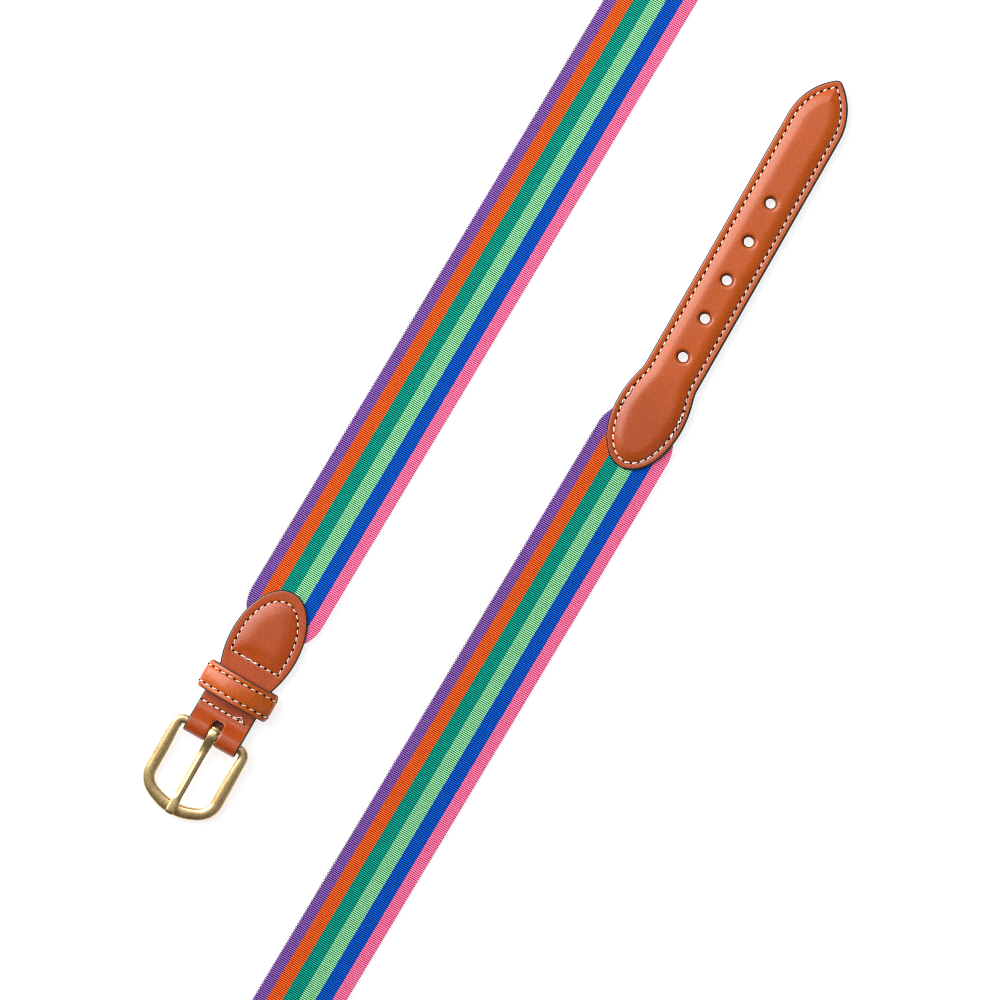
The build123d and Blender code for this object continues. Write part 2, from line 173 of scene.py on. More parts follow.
class Shape:
    """Points in millimetres and the quads on them, which become one mesh."""

    def __init__(self):
        self.points, self.quads, self.slots, self.uvs, self.count = [], [], [], [], 0

    def grid(self, points, slot=0, around=False, flip=False, keep=None, uv=None):
        """Quads over rows x columns of points; around joins the last column to the first."""
        points = np.asarray(points, float)
        rows, columns = points.shape[:2]
        index = self.count + np.arange(rows * columns).reshape(rows, columns)
        if around:
            index = np.concatenate([index, index[:, :1]], axis=1)
        quads = np.stack([index[:-1, :-1], index[:-1, 1:], index[1:, 1:], index[1:, :-1]], axis=-1)
        quads = (quads if keep is None else quads[keep]).reshape(-1, 4)
        self.points.append(points.reshape(-1, 3))
        self.quads.append(quads[:, ::-1] if flip else quads)
        self.slots.append(np.full(len(quads), slot) if np.isscalar(slot) else slot.reshape(-1))
        self.uvs.append(np.zeros((rows * columns, 2)) if uv is None else uv.reshape(-1, 2))
        self.count += rows * columns

    def cap(self, ring, flip):
        """A fan that closes a ring of points."""
        self.grid([ring, np.broadcast_to(ring.mean(axis=0), ring.shape)], around=True, flip=flip)

    def shell(self, face, plain, flip, slot=0, wall_slot=0, uvs=(None, None)):
        """A worked face, the plain one behind it, and the walls between their sides; uvs are the
        two faces' own."""
        self.grid(face, slot, flip=flip, uv=uvs[0])
        self.grid(plain, flip=not flip, uv=uvs[1])
        for side in (0, -1):
            wall = np.stack([face[:, side], plain[:, side]], axis=1)
            wall_uv = None if uvs[0] is None else np.stack([uv[:, side] for uv in uvs], axis=1)
            self.grid(wall, wall_slot, flip=(side == -1) == flip, uv=wall_uv)

    def build(self, name, looks, sharp=40.0, uv_name=None, weld=True):
        """The finished object, at the origin, smooth but for edges sharper than sharp degrees."""
        points = np.concatenate(self.points) / MM
        quads = np.concatenate(self.quads)
        mesh = bpy.data.meshes.new(name)
        mesh.vertices.add(len(points))
        mesh.vertices.foreach_set("co", points.astype(np.float32).ravel())
        mesh.loops.add(quads.size)
        mesh.loops.foreach_set("vertex_index", quads.astype(np.int32).ravel())
        mesh.polygons.add(len(quads))
        mesh.polygons.foreach_set("loop_start", np.arange(0, quads.size, 4, dtype=np.int32))
        mesh.polygons.foreach_set("material_index", np.concatenate(self.slots).astype(np.int32))
        if uv_name:
            layer = mesh.uv_layers.new(name=uv_name)
            flat = np.concatenate(self.uvs)[quads.ravel()]
            layer.uv.foreach_set("vector", flat.astype(np.float32).ravel())
        for look in looks:
            mesh.materials.append(look.made)
        mesh.update(calc_edges=True)
        if weld:
            work = bmesh.new()
            work.from_mesh(mesh)
            bmesh.ops.remove_doubles(work, verts=work.verts, dist=2e-6)
            bmesh.ops.dissolve_degenerate(work, edges=work.edges, dist=1e-7)
            work.to_mesh(mesh)
            work.free()
        mesh.shade_smooth()
        mesh.set_sharp_from_angle(angle=math.radians(sharp))
        return add_object(name, mesh)


def place(thing, body, slot, *nodes):
    """The piece rides on a body and stands for the named CAD nodes. slot is not used."""
    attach(thing, body)
    if nodes:
        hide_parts(*nodes)
    return thing


def ease(value):
    value = np.clip(value, 0, 1)
    return value * value * (3 - 2 * value)


def unit(vectors):
    return vectors / np.linalg.norm(vectors, axis=-1, keepdims=True)


def square_to(ways):
    """Unit directions square to flat ones, on their right."""
    return unit(np.stack([ways[:, 1], -ways[:, 0]], axis=1))


def round_turn(count):
    """Angles evenly round a circle."""
    return np.linspace(0, math.tau, count + 1)[:-1]


def run_lengths(points):
    """Distance along a polyline to each of its points."""
    return np.concatenate([[0], np.cumsum(np.linalg.norm(np.diff(points, axis=0), axis=1))])


def looped(points):
    """The points, and the first again after the last."""
    return np.concatenate([points, points[:1]])


def resampled(points, count):
    """A polyline's points again, count of them, evenly spaced."""
    lengths = run_lengths(points)
    at = np.linspace(0, lengths[-1], count)
    return np.stack([np.interp(at, lengths, points[:, k]) for k in range(points.shape[1])], axis=1)


def spaced(points, step):
    """A polyline's points again, about step apart."""
    points = np.asarray(points, float)
    return resampled(points, max(2, int(round(run_lengths(points)[-1] / step)) + 1))


def with_left(right, last=None):
    """A right side, then its mirror image back to its start, or with last=-1 to just before it."""
    return np.concatenate([right, (right * mirror)[::-1][1:last]])


def both_sides(right):
    """Places from left to right: the mirror images of the right ones, the middle and these."""
    right = np.asarray(right)
    return np.concatenate([-right[::-1], [0], right])


def bezier(p0, p1, p2, p3, count):
    t = np.linspace(0, 1, count)[:, None]
    p0, p1, p2, p3 = (np.array(p, float) for p in (p0, p1, p2, p3))
    return (1 - t) ** 3 * p0 + 3 * (1 - t) ** 2 * t * p1 + 3 * (1 - t) * t * t * p2 + t ** 3 * p3


def arc(centre, radius, first, last, count):
    """Points on a circle or, with two radii, an ellipse; angles in degrees."""
    rx, ry = radius if isinstance(radius, tuple) else (radius, radius)
    angle = np.radians(np.linspace(first, last, count))
    return np.stack([centre[0] + rx * np.cos(angle), centre[1] + ry * np.sin(angle)], axis=1)


# ---------------- materials
class Nodes:
    """Short ways to add nodes to a tree. A value is a socket, which is linked, or a plain one."""

    def __init__(self, tree):
        self.tree = tree

    def fill(self, made, values):
        for key, value in values:
            if isinstance(value, bpy.types.NodeSocket):
                self.tree.links.new(value, made.inputs[key])
            elif value is not None:
                made.inputs[key].default_value = value

    def add(self, kind, numbered=(), **named):
        """A node with inputs by number, and settings and inputs by name."""
        made = self.tree.nodes.new("ShaderNode" + kind)
        for key in [key for key in named if hasattr(made, key)]:
            setattr(made, key, named.pop(key))
        self.fill(made, (*named.items(), *numbered))
        return made

    def math(self, operation, *values):
        return self.add("Math", enumerate(values), operation=operation).outputs[0]

    def mix(self, kind, share, first, second):
        values = ((0, share), (6, first), (7, second))
        return self.add("Mix", values, data_type="RGBA", blend_type=kind).outputs[2]

    def ramp(self, source, *stops, interpolation="LINEAR"):
        """The colour for source between stops of (place, colour)."""
        made = self.add("ValToRGB", Fac=source)
        made.color_ramp.interpolation = interpolation
        elements = made.color_ramp.elements
        while len(elements) < len(stops):
            elements.new(0.5)
        for element, (at, colour) in zip(elements, stops):
            element.position = at
            element.color = (*colour, 1)
        return made.outputs["Color"]


class Look(Nodes):
    """A material in the making, over the object's own coordinates or a UV map."""

    def __init__(self, name, roughness, uv=None, **inputs):
        self.made = bpy.data.materials.new(name)
        self.made.use_nodes = True
        super().__init__(self.made.node_tree)
        self.shader = self.tree.nodes["Principled BSDF"]
        self.where = (self.add("UVMap", uv_map=uv).outputs["UV"] if uv
                      else self.add("TexCoord").outputs["Object"])
        self.set(Roughness=roughness, **inputs)

    def set(self, **inputs):
        """Fills the shader's inputs; _ in a name stands for a space."""
        self.fill(self.shader, [(key.replace("_", " "), value) for key, value in inputs.items()])

    def noise(self, scale, detail, where=None, stretch=None):
        where = where or self.where
        if stretch:
            where = self.add("Mapping", Scale=stretch, Vector=where).outputs["Vector"]
        return self.add("TexNoise", Scale=scale, Detail=detail, Vector=where).outputs["Fac"]

    def bump(self, *heights):
        """Bumps the surface by (socket, strength, distance in metres) in turn."""
        normal = None
        for height, strength, distance in heights:
            normal = self.add("Bump", Strength=strength, Distance=distance, Height=height,
                              Normal=normal).outputs["Normal"]
        self.set(Normal=normal)


def toned(name, roughness, scale, detail, low, high, **inputs):
    """A look whose colour drifts between two."""
    look = Look(name, roughness, **inputs)
    look.set(Base_Color=look.ramp(look.noise(scale, detail), low, high))
    return look


def leather_look(name, tint, darker_between=None):
    """Smooth tan leather: fine grain, faint pores, soft changes of colour and sheen. darker_between
    gives two places in Y, from which and to which its colour deepens."""
    look = Look(name, 0.41, Coat_Weight=0.5, Coat_Roughness=0.25, Specular_IOR_Level=0.5)
    dark, light = (tuple(c * k for c in tint) for k in (0.95, 1.04))
    base = look.ramp(look.noise(70, 4), (0.3, dark), (0.72, light))
    grain = look.noise(1500, 3)
    mottle = look.ramp(grain, (0.3, (0.8, 0.75, 0.7)), (0.7, (1.18, 1.2, 1.22)))
    colour = look.mix("MULTIPLY", 0.9, base, mottle)
    if darker_between:
        high, low = (y / MM for y in darker_between)
        place_y = look.add("SeparateXYZ", Vector=look.where).outputs["Y"]
        span = look.math("MULTIPLY_ADD", place_y, 1 / (high - low), -low / (high - low))
        deeper = look.ramp(span, (0.0, (0.84, 0.76, 0.7)), (1.0, (1, 1, 1)))
        colour = look.mix("MULTIPLY", 1.0, colour, deeper)
    look.set(Base_Color=colour, Roughness=look.math("MULTIPLY_ADD", grain, 0.12, 0.35))
    pores = look.add("TexVoronoi", Scale=1900, Vector=look.where).outputs["Distance"]
    look.bump((look.noise(1300, 4), 0.16, 0.0002), (pores, 0.1, 0.0002),
              (look.noise(260, 3), 0.07, 0.0005))
    return look


def brass_look():
    """Brushed brass, a little aged: pale and olive patches, fine scratches and soft dents."""
    look = Look("brass", 0.35, Metallic=1.0, Coat_Weight=1.0, Coat_Roughness=0.22, Coat_IOR=2.2)
    fine = look.noise(900, 4)
    tone = look.ramp(look.noise(150, 5), (0.32, (0.80, 0.53, 0.19)), (0.6, (0.94, 0.68, 0.29)))
    speck = look.ramp(fine, (0.35, (0.74, 0.7, 0.62)), (0.6, (1, 1, 1)))
    look.set(Base_Color=look.mix("MULTIPLY", 0.6, tone, speck),
             Roughness=look.math("MULTIPLY_ADD", fine, 0.16, 0.35))
    scratches = look.noise(1500, 2, stretch=(1, 0.2, 1))
    look.bump((look.noise(320, 4), 0.05, 0.0004), (scratches, 0.12, 0.0001))
    return look


# each stripe's colour on a rib, lightened there as painted highlight, and in the groove between
# two, darkened as painted shade
stripe_lit_and_shaded_colours = (
    ((0.42, 0.185, 0.77), (0.012, 0.003, 0.02)), ((1.2, 0.22, 0.026), (0.45, 0.003, 0.0)),
    ((0.0, 0.59, 0.43), (0.0, 0.012, 0.016)), ((0.48, 1.1, 0.60), (0.004, 0.15, 0.02)),
    ((0.0, 0.17, 1.0), (0.0, 0.003, 0.055)), ((1.3, 0.35, 0.69), (0.70, 0.01, 0.03)))


def ribbon_look():
    """Grosgrain ribbon in six lengthwise stripes, lighter on its ribs as painted highlight and
    darker and deeper between them as painted shade. The stripes' edges step a little from rib to
    rib."""
    look = Look("ribbon", 0.8, uv="weave", Specular_IOR_Level=0.12)
    split = look.add("SeparateXYZ", Vector=look.where)
    across, down = split.outputs["X"], split.outputs["Y"]
    rib = look.math("DIVIDE", down, rib_pitch)
    number = look.math("FLOOR", rib)
    jag = look.add("TexWhiteNoise", noise_dimensions="1D", W=number).outputs["Value"]
    shifted = look.math("ADD", across, look.math("MULTIPLY_ADD", jag, 0.18, -0.09))
    share = look.math("MULTIPLY_ADD", shifted, 1 / (2 * webbing_half), 0.5)
    places = [0, *(edge / (2 * webbing_half) + 0.5 for edge in stripe_edges[1:-1])]
    lit_rib_colour, shaded_groove_colour = (look.ramp(share, *zip(places, colours), interpolation="CONSTANT")
                         for colours in zip(*stripe_lit_and_shaded_colours))
    from_crown = look.math("ABSOLUTE", look.math("SUBTRACT", look.math("FRACT", rib), 0.5))
    # sunk: how far a place lies towards the groove, from the rib's painted highlight to the
    # groove's painted shade
    sunk = look.add("MapRange", enumerate((from_crown, 0.17, 0.4)), interpolation_type="SMOOTHSTEP")
    colour = look.mix("MIX", sunk.outputs["Result"], lit_rib_colour, shaded_groove_colour)
    threads = look.add("CombineXYZ", enumerate((look.math("MULTIPLY", across, 4.5),
                                                look.math("MULTIPLY", down, 0.35), number)))
    yarn = look.noise(1.0, 2, threads.outputs["Vector"])
    tone = look.ramp(yarn, (0.3, (0.72, 0.72, 0.72)), (0.7, (1.2, 1.2, 1.2)))
    look.set(Base_Color=look.mix("MULTIPLY", 0.8, colour, tone))
    look.bump((yarn, 0.35, 0.0001))
    return look


def web_look():
    """Cream cotton web: a plain weave of thick cords."""
    look = Look("cotton_web", 0.85, uv="weave", Sheen_Weight=0.2)
    split = look.add("SeparateXYZ", Vector=look.where)
    waves = [look.math("SINE", look.math("MULTIPLY", split.outputs[axis],
                                         math.tau / web_cord_pitch)) for axis in "XY"]
    weave = look.math("MULTIPLY_ADD", look.math("MULTIPLY", *waves), 0.5, 0.5)
    fuzz = look.noise(3.0, 4)
    tone = look.ramp(fuzz, (0.3, (0.68, 0.64, 0.58)), (0.7, (0.88, 0.85, 0.8)))
    shade = look.ramp(weave, (0.0, (0.52, 0.49, 0.45)), (0.6, (1, 1, 1)))
    look.set(Base_Color=look.mix("MULTIPLY", 0.8, tone, shade))
    look.bump((weave, 0.6, 0.0003), (fuzz, 0.3, 0.0002))
    return look


def srgb(*values):
    """Linear colour of an sRGB one given in 0-255."""
    return tuple(((v / 255 + 0.055) / 1.055) ** 2.4 if v > 10 else v / 255 / 12.92 for v in values)


tan = leather_look("tan_leather", srgb(212, 92, 7), darker_between=(-42.0, -68.0))
tab_tan = leather_look("tab_leather", srgb(196, 79, 7))
keeper_tan = leather_look("keeper_leather", srgb(214, 96, 9))
paint = toned("edge_paint", 0.32, 500, 3, (0.3, (0.03, 0.03, 0.032)), (0.7, (0.05, 0.05, 0.051)),
              Specular_IOR_Level=0.6)
paint.bump((paint.noise(900, 3), 0.25, 0.0002))
# raw split leather, darkened further as painted shade for the inside of the slot
split_leather = toned("split_leather", 0.85, 700, 5,
                      (0.3, (0.05, 0.018, 0.007)), (0.7, (0.1, 0.04, 0.015)))
split_leather.bump((split_leather.noise(900, 4), 0.5, 0.0003))
thread = toned("thread", 0.6, 900, 3, (0.3, (0.92, 0.88, 0.8)), (0.6, (1.0, 0.99, 0.96)))
plies = thread.add("TexWave", Scale=1400, Distortion=1.0, Vector=thread.where)
thread.bump((plies.outputs["Fac"], 0.35, 0.00015))
# the near-black of the needle holes is painted shade
needle_hole = toned("needle_hole", 0.8, 900, 2,
                    (0.3, (0.004, 0.003, 0.002)), (0.7, (0.02, 0.011, 0.006)),
                    Specular_IOR_Level=0.0)
# the bores' dark brown is the cut leather's own colour, deepened as painted shade inside the holes
hole_wall = toned("hole_wall", 0.6, 700, 3, (0.3, (0.24, 0.07, 0.022)), (0.7, (0.4, 0.12, 0.04)),
                  Specular_IOR_Level=0.3)
brass = brass_look()
ribbon_cloth = ribbon_look()
web_cloth = web_look()


# ---------------- the webbing's path
def along(heading):
    return np.array([math.cos(math.radians(heading)), math.sin(math.radians(heading)), 0.0])


def right_of(heading):
    return np.array([math.sin(math.radians(heading)), -math.cos(math.radians(heading)), 0.0])


def webbing_stations():
    """Pieces of the webbing's path as (length, function of the distance into it).

    Each function gives the centre of the webbing's thickness, the direction across and the
    direction out of the ribbon."""
    direction, across = along(run_heading), right_of(run_heading)
    half_thick = webbing_thickness / 2
    left_start = np.array([end_x, tab_top_y - tab_cover, 0.0])
    right_start = np.array([0.0, tip_low[1] + tip_cover, 0.0])

    def flat(start, distance, from_end, cover):
        """Level, a layer higher where it goes under the leather's cover."""
        rise = leather * (1 - ease((from_end - cover) / step_length))
        return start + direction * distance + up * (half_thick + rise), across, up

    def twisted(start, distance, into):
        turned = math.radians(90 * ease(into / twist_length))
        side = across * math.cos(turned) + up * math.sin(turned)
        middle = webbing_half * math.sin(turned) + half_thick * math.cos(turned)
        return start + direction * distance + up * middle, side, np.cross(side, direction)

    def on_edge(place, heading):
        return place + up * webbing_half, up, -right_of(heading)

    def bend(centre, radius, heading):
        def at(distance):
            turned = heading - math.degrees(distance / radius)
            return on_edge(centre - right_of(turned) * radius, turned)
        return at

    def leg(start, heading):
        return lambda d: on_edge(start + along(heading) * d, heading)

    headings = (run_heading, *leg_headings, run_heading - 360)
    left_reach, right_reach = left_run_length + twist_length, right_run_length + twist_length
    point = left_start + direction * left_reach
    bends = sum((right_of(before) - right_of(after)) * radius
                for radius, before, after in zip(bend_radii, headings, headings[1:]))
    gap = right_start - direction * right_reach - point - bends
    ways = np.stack([along(heading)[:2] for heading in leg_headings], axis=1)
    pieces = [(left_run_length, lambda d: flat(left_start, d, d, tab_cover)),
              (twist_length, lambda d: twisted(left_start, left_run_length + d, d))]
    lengths = (*np.linalg.solve(ways, gap[:2]), 0)
    for radius, heading, next_heading, length in zip(bend_radii, headings, headings[1:], lengths):
        centre = point + right_of(heading) * radius
        turn = math.radians(heading - next_heading)
        pieces.append((radius * turn, bend(centre, radius, heading)))
        point = centre - right_of(next_heading) * radius
        if length:
            pieces.append((length, leg(point, next_heading)))
            point = point + along(next_heading) * length
    return [*pieces,
            (twist_length, lambda d: twisted(right_start, d - right_reach, twist_length - d)),
            (right_run_length, lambda d: flat(right_start, d - right_run_length,
                                              right_run_length - d, tip_cover))]


stations = webbing_stations()
webbing_length = sum(length for length, _ in stations)


def webbing_at(distance):
    """Centre, across and outward direction at a distance from the buckle end."""
    for length, piece in stations:
        if distance <= length or piece is stations[-1][1]:
            return piece(min(distance, length))
        distance -= length


def end_half(distance):
    """Half width of the webbing at a distance from its nearest end."""
    radius = webbing_half - end_flat_half
    inside = np.clip(radius - distance, 0, radius)
    return end_flat_half + np.sqrt(radius ** 2 - inside ** 2)


def band(distances, columns, height, edges):
    """Grid of points on the webbing at the distances: columns are places across it, clipped to its
    rounded ends, and height(row, column) the distance out of its middle. edges widen it."""
    centres, sides, outs = (np.array(v) for v in zip(*(webbing_at(d) for d in distances)))
    half = end_half(np.minimum(distances, webbing_length - distances))[:, None]
    columns = np.broadcast_to(columns, (len(distances), len(columns)))
    over = np.abs(columns) - even_half
    squeezed = over * np.maximum(half - even_half, 0.05) / (webbing_half - even_half)
    fitted = np.sign(columns) * (even_half + squeezed)
    columns = np.where(over > 0, fitted, columns) + edges * (1 - np.abs(sides[:, 2:]))
    points = (centres[:, None] + sides[:, None] * columns[..., None]
              + outs[:, None] * height[..., None])
    uv = np.stack([columns, np.broadcast_to(distances[:, None], columns.shape)], axis=-1)
    return points, uv


def cloth_band(name, cloth, distances, columns, height, plain_height, edges, sharp, face_out):
    """A band of cloth with a worked face, which looks out or in, and a plain one."""
    points, uv = band(distances, columns, height, edges)
    plain_heights = np.full((len(distances), 2), plain_height)
    plain, plain_uv = band(distances, columns[[0, -1]], plain_heights, edges[:, [0, -1]])
    shape = Shape()
    shape.shell(points, plain, face_out, uvs=(uv, plain_uv))
    for row in (0, -1):
        cap = np.stack([points[row], np.linspace(plain[row, 0], plain[row, 1], len(columns))])
        shape.grid(cap, flip=(row == 0) == face_out)
    return shape.build(name, [cloth], sharp=sharp, uv_name="weave", weld=False)


def make_ribbon():
    """The striped ribbon with every rib modelled."""
    ribs = int((webbing_length - 2 * hidden_end) / rib_pitch)
    numbers = math.ceil(hidden_end / rib_pitch) + np.arange(ribs)
    distances = (numbers[:, None] + rib_places).ravel() * rib_pitch
    rise = np.tile(rib_rises * rib_height, ribs)
    left, right = stripe_edges[0], stripe_edges[-1]
    columns = np.array([left - 0.02, left + 0.1, left + 0.3, -15.0,
                        15.0, right - 0.3, right - 0.1, right + 0.02])
    top = webbing_thickness / 2 - 0.07
    height = np.tile(top + rise[:, None], (1, len(columns)))
    height[:, 0] = height[:, -1] = top - 0.16
    turn = np.where(numbers % 2 == 0, 1.0, -1.0)
    tooth = (turn[:, None] * rib_teeth).ravel()[:, None]
    edges = np.zeros_like(height)
    edges[:, :2], edges[:, -2:] = (jut * tooth for jut in rib_juts)
    low = webbing_thickness / 2 - ribbon_thickness + 0.02
    return cloth_band("striped_ribbon", ribbon_cloth, distances, columns, height, low, edges,
                      sharp=60, face_out=True)


def make_web():
    """The cotton web behind the ribbon, with its selvedges a little wider than the ribbon."""
    pick = 2 * rib_pitch
    start = math.ceil(hidden_end / pick) * pick - rib_pitch / 2
    distances = np.arange(start, webbing_length - hidden_end, pick / 2)
    cords = np.linspace(-webbing_half, webbing_half, 41)
    phase = np.round(distances / pick * 2).astype(int)[:, None] + np.arange(len(cords))[None, :]
    low = -webbing_thickness / 2 + 0.1
    high = low + web_thickness - 0.12
    height = low + 0.07 * np.where(phase % 2 == 0, 1, -1)
    edges = np.zeros(height.shape)
    edges[:, 0] = 0.1 - 0.5 * (phase[:, 0] % 2)
    edges[:, -1] = -0.3
    return cloth_band("cotton_web", web_cloth, distances, cords, height, high, edges,
                      sharp=75, face_out=False)


# ---------------- leather panels
def tip_ring(inset):
    """The tip's outline moved in by inset: its right side, from the point to the round end."""
    half, wide = strap_half - inset, tab_half - inset
    arc_x = strap_half - tip_side_radius
    reach = math.sqrt((tip_side_radius - tip_nose_radius) ** 2 - arc_x ** 2)
    arc_y = tip_high[1] - tip_nose_radius - reach
    radius, nose = tip_side_radius - inset, tip_nose_radius - inset
    if nose > 0:
        angle = math.degrees(math.atan2(reach, -arc_x))
        point = arc((0, arc_y + reach), nose, 90, angle, 20)
    else:
        angle = math.degrees(math.atan2(math.sqrt(radius ** 2 - arc_x ** 2), -arc_x))
        point = np.zeros((0, 2))
    side = resampled(np.concatenate([point, arc((arc_x, arc_y), radius, angle, 0, 200)]), 64)
    straight = np.linspace((half, arc_y), (half, neck_y), 208)[1:]
    flare_length = neck_y - tip_tab_y
    flare = bezier((half, neck_y), (half, neck_y - flare_pulls[0] * flare_length),
                   (wide, tip_tab_y + flare_pulls[1] * flare_length), (wide, tip_tab_y), 36)[1:]
    end = arc((0, tip_tab_y), (wide, tip_tab_y - tip_low[1] - inset), 0, -90, 72)[1:]
    return np.concatenate([side, straight, flare, end])


def pad_shape(depth):
    """Share of the pad's height at a depth inside the seam: steep there, level in the middle."""
    return 1 - (1 - np.clip(depth / pad_slope, 0, 1)) ** 2.0


def margin_shape(inset, seam):
    """The margin between the cut edge and the seam swells a little."""
    share = np.clip(inset / seam, 0, 1)
    return 0.09 * np.sin(math.pi * share ** 0.8) - 0.05


def seam_drop(distance):
    """Height lost at a distance from a line of stitches."""
    return -groove_depth * np.exp(-(distance / groove_width) ** 2)


def edge_drop(inset, radius=edge_radius):
    """Height lost where the cut edge is rounded."""
    inside = np.clip(radius - inset, 0, radius)
    return np.sqrt(radius ** 2 - inside ** 2) - radius


# a panel's rings are insets of its outline, and its inner grid lies between its last ring's sides
ring_insets = np.array([0, .05, .14, .27, .42, .58, .86, 1.15, 1.6, 2.1, 2.45, 2.7, 2.88, 3.05,
                        3.22, 3.4, 3.65, 4.0, 4.4, 4.9, 5.5, 6.2, 6.9, 7.6])
inner_shares = both_sides([.17, .34, .5, .64, .77, .88, 1])
block = (2, 12)                                   # the inner columns that an opening takes up
lining_insets = ring_insets[[0, 2, 4, 5, 6, 9, 11, 13, 15, 17, 23]]      # fewer: it is flatter


def inner_depth(share, half):
    """Depth inside the outline at a share of the way from the middle to the last ring."""
    return ring_insets[-1] + half * (1 - np.sqrt((share ** 2 + 0.02) / 1.02))


def wavy(points, size, seed):
    """A soft random unevenness over (x, y) places, at most about size."""
    dice = np.random.RandomState(seed)
    total = np.zeros(points.shape[:-1])
    for _ in range(7):
        freq = dice.uniform(0.05, 0.32, 2) * dice.choice([-1, 1], 2)
        waves = points[..., 0] * freq[0] * 2 + points[..., 1] * freq[1]
        total += np.sin(waves + dice.uniform(0, 6.3))
    return total * size / 3.5


def leather_panel(shape, rings, insets, lift, to_space, cuts, flip, painted=0.0):
    """One face of a leather panel. rings are its outline and insets as right sides;
    lift(points, inset) gives the height at flat places, to_space(points, height) their place in
    space, and cuts are (first row, last row, target(point)) for openings. painted is how far the
    edge paint reaches in, or a function of x that says so. Returns the rim of each opening."""
    right = np.array(rings)
    for side, turned in ((right, flip), (right * mirror, not flip)):
        heights = np.stack([lift(ring, inset) for ring, inset in zip(side, insets)])
        reach = painted(side[0][1:, 0]) if callable(painted) else painted
        slots = np.zeros((len(insets) - 1, right.shape[1] - 1), int)
        slots[np.broadcast_to(insets[:-1, None] < reach, slots.shape)] = 1
        shape.grid(to_space(side, heights), flip=turned, slot=slots)
    inner = right[-1]
    points = np.stack([inner * (share, 1) for share in inner_shares], axis=1)
    keep = np.ones((len(points) - 1, len(inner_shares) - 1), bool)
    start, stop = block
    for first, last, _ in cuts:
        keep[first:last, start:stop] = False
    depth = inner_depth(inner_shares, inner[:, :1])
    shape.grid(to_space(points, lift(points, depth)), flip=flip, keep=keep)
    rims = []
    for first, last, target in cuts:
        loop = np.concatenate([points[first, start:stop], points[first:last, stop],
                               points[last, stop:start:-1], points[last:first:-1, start]])
        goal = np.array([target(p) for p in loop])
        shares = ease(np.linspace(0, 1, 7))[:, None, None]
        patch = loop * (1 - shares) + goal * shares
        half = inner[(first + last) // 2, 0]
        depth = inner_depth(np.clip(patch[..., 0] / half, -1, 1), half)
        shape.grid(to_space(patch, lift(patch, depth)), around=True, flip=flip)
        rims.append(goal)
    return rims


def hidden_face(shape, rings, height, to_space, cuts, flip):
    """The level face of a panel, which lies against its neighbour."""
    leather_panel(shape, [rings[0], rings[-1]], ring_insets[[0, -1]],
                  lambda p, _: np.full(p.shape[:-1], height), to_space, cuts, flip)


def panel_wall(shape, ring, top, bottom, to_space):
    """The cut edge of a panel, between two heights."""
    outline = with_left(ring, -1)
    rows = [to_space(outline, z) for z in np.linspace(top, bottom, 5)]
    shape.grid(rows, around=True, slot=1)


def flat_space(base):
    """Places in space over a flat base: a function of flat places and heights."""
    def to_space(points, heights):
        points, heights = np.broadcast_arrays(points, np.asarray(heights)[..., None])
        return np.stack([points[..., 0], points[..., 1], base + heights[..., 0]], axis=-1)
    return to_space


# ---------------- the leather tip
hole_centres = [np.array([bore_shift, (step - (hole_count - 1) / 2) * hole_pitch])
                for step in range(hole_count)]


def tip_lift(points, inset):
    """Height of the tip's face above the front leather's margin."""
    inset = np.broadcast_to(inset, points.shape[:-1])
    height = edge_drop(inset) + seam_drop(inset - seam_inset) + margin_shape(inset, seam_inset)
    height = height + (pad_rise + pad_extra) * pad_shape(inset - seam_inset)
    height = height + wavy(points, 0.03, 3) * np.clip(inset, 0, 1)
    for centre in hole_centres:
        away = np.linalg.norm(points - centre, axis=-1)
        outside = np.maximum(away - hole_mouth, 0)
        height = height - mouth_dip * np.exp(-(outside / mouth_fade) ** 2)
    return height


def circle_target(centre, radius):
    return lambda point: centre + unit(point - centre) * radius


def bore(shape, rims, profile, to_space, slot):
    """The walls of the holes under their rims: profile is (radius, height) going down."""
    flare = profile[0][0] - hole_radius
    for rim, centre in zip(rims, hole_centres):
        middle = rim.mean(axis=0)
        away = unit(rim - middle)
        rows = []
        for radius, height in profile:
            share = (radius - hole_radius) / flare if flare else 0
            rows.append(to_space(centre * (1 - share) + middle * share + away * radius, height))
        shape.grid(rows, around=True, flip=True, slot=slot)


def paint_reach_with_shade(x):
    """How far the edge paint reaches in on the tip: a fine line on its left, where the edge is lit,
    and more on its right, where the wider dark band is painted shade.
    """
    return paint_reach_lit_left + (paint_reach_shaded_right - paint_reach_lit_left) * np.clip(x / (2 * strap_half) + 0.5, 0, 1)


def lining_lift(points, inset):
    """Height of the tip's underside, which looks down."""
    return -edge_drop(inset, 0.4) - seam_drop(inset - seam_inset) + np.zeros(points.shape[:-1])


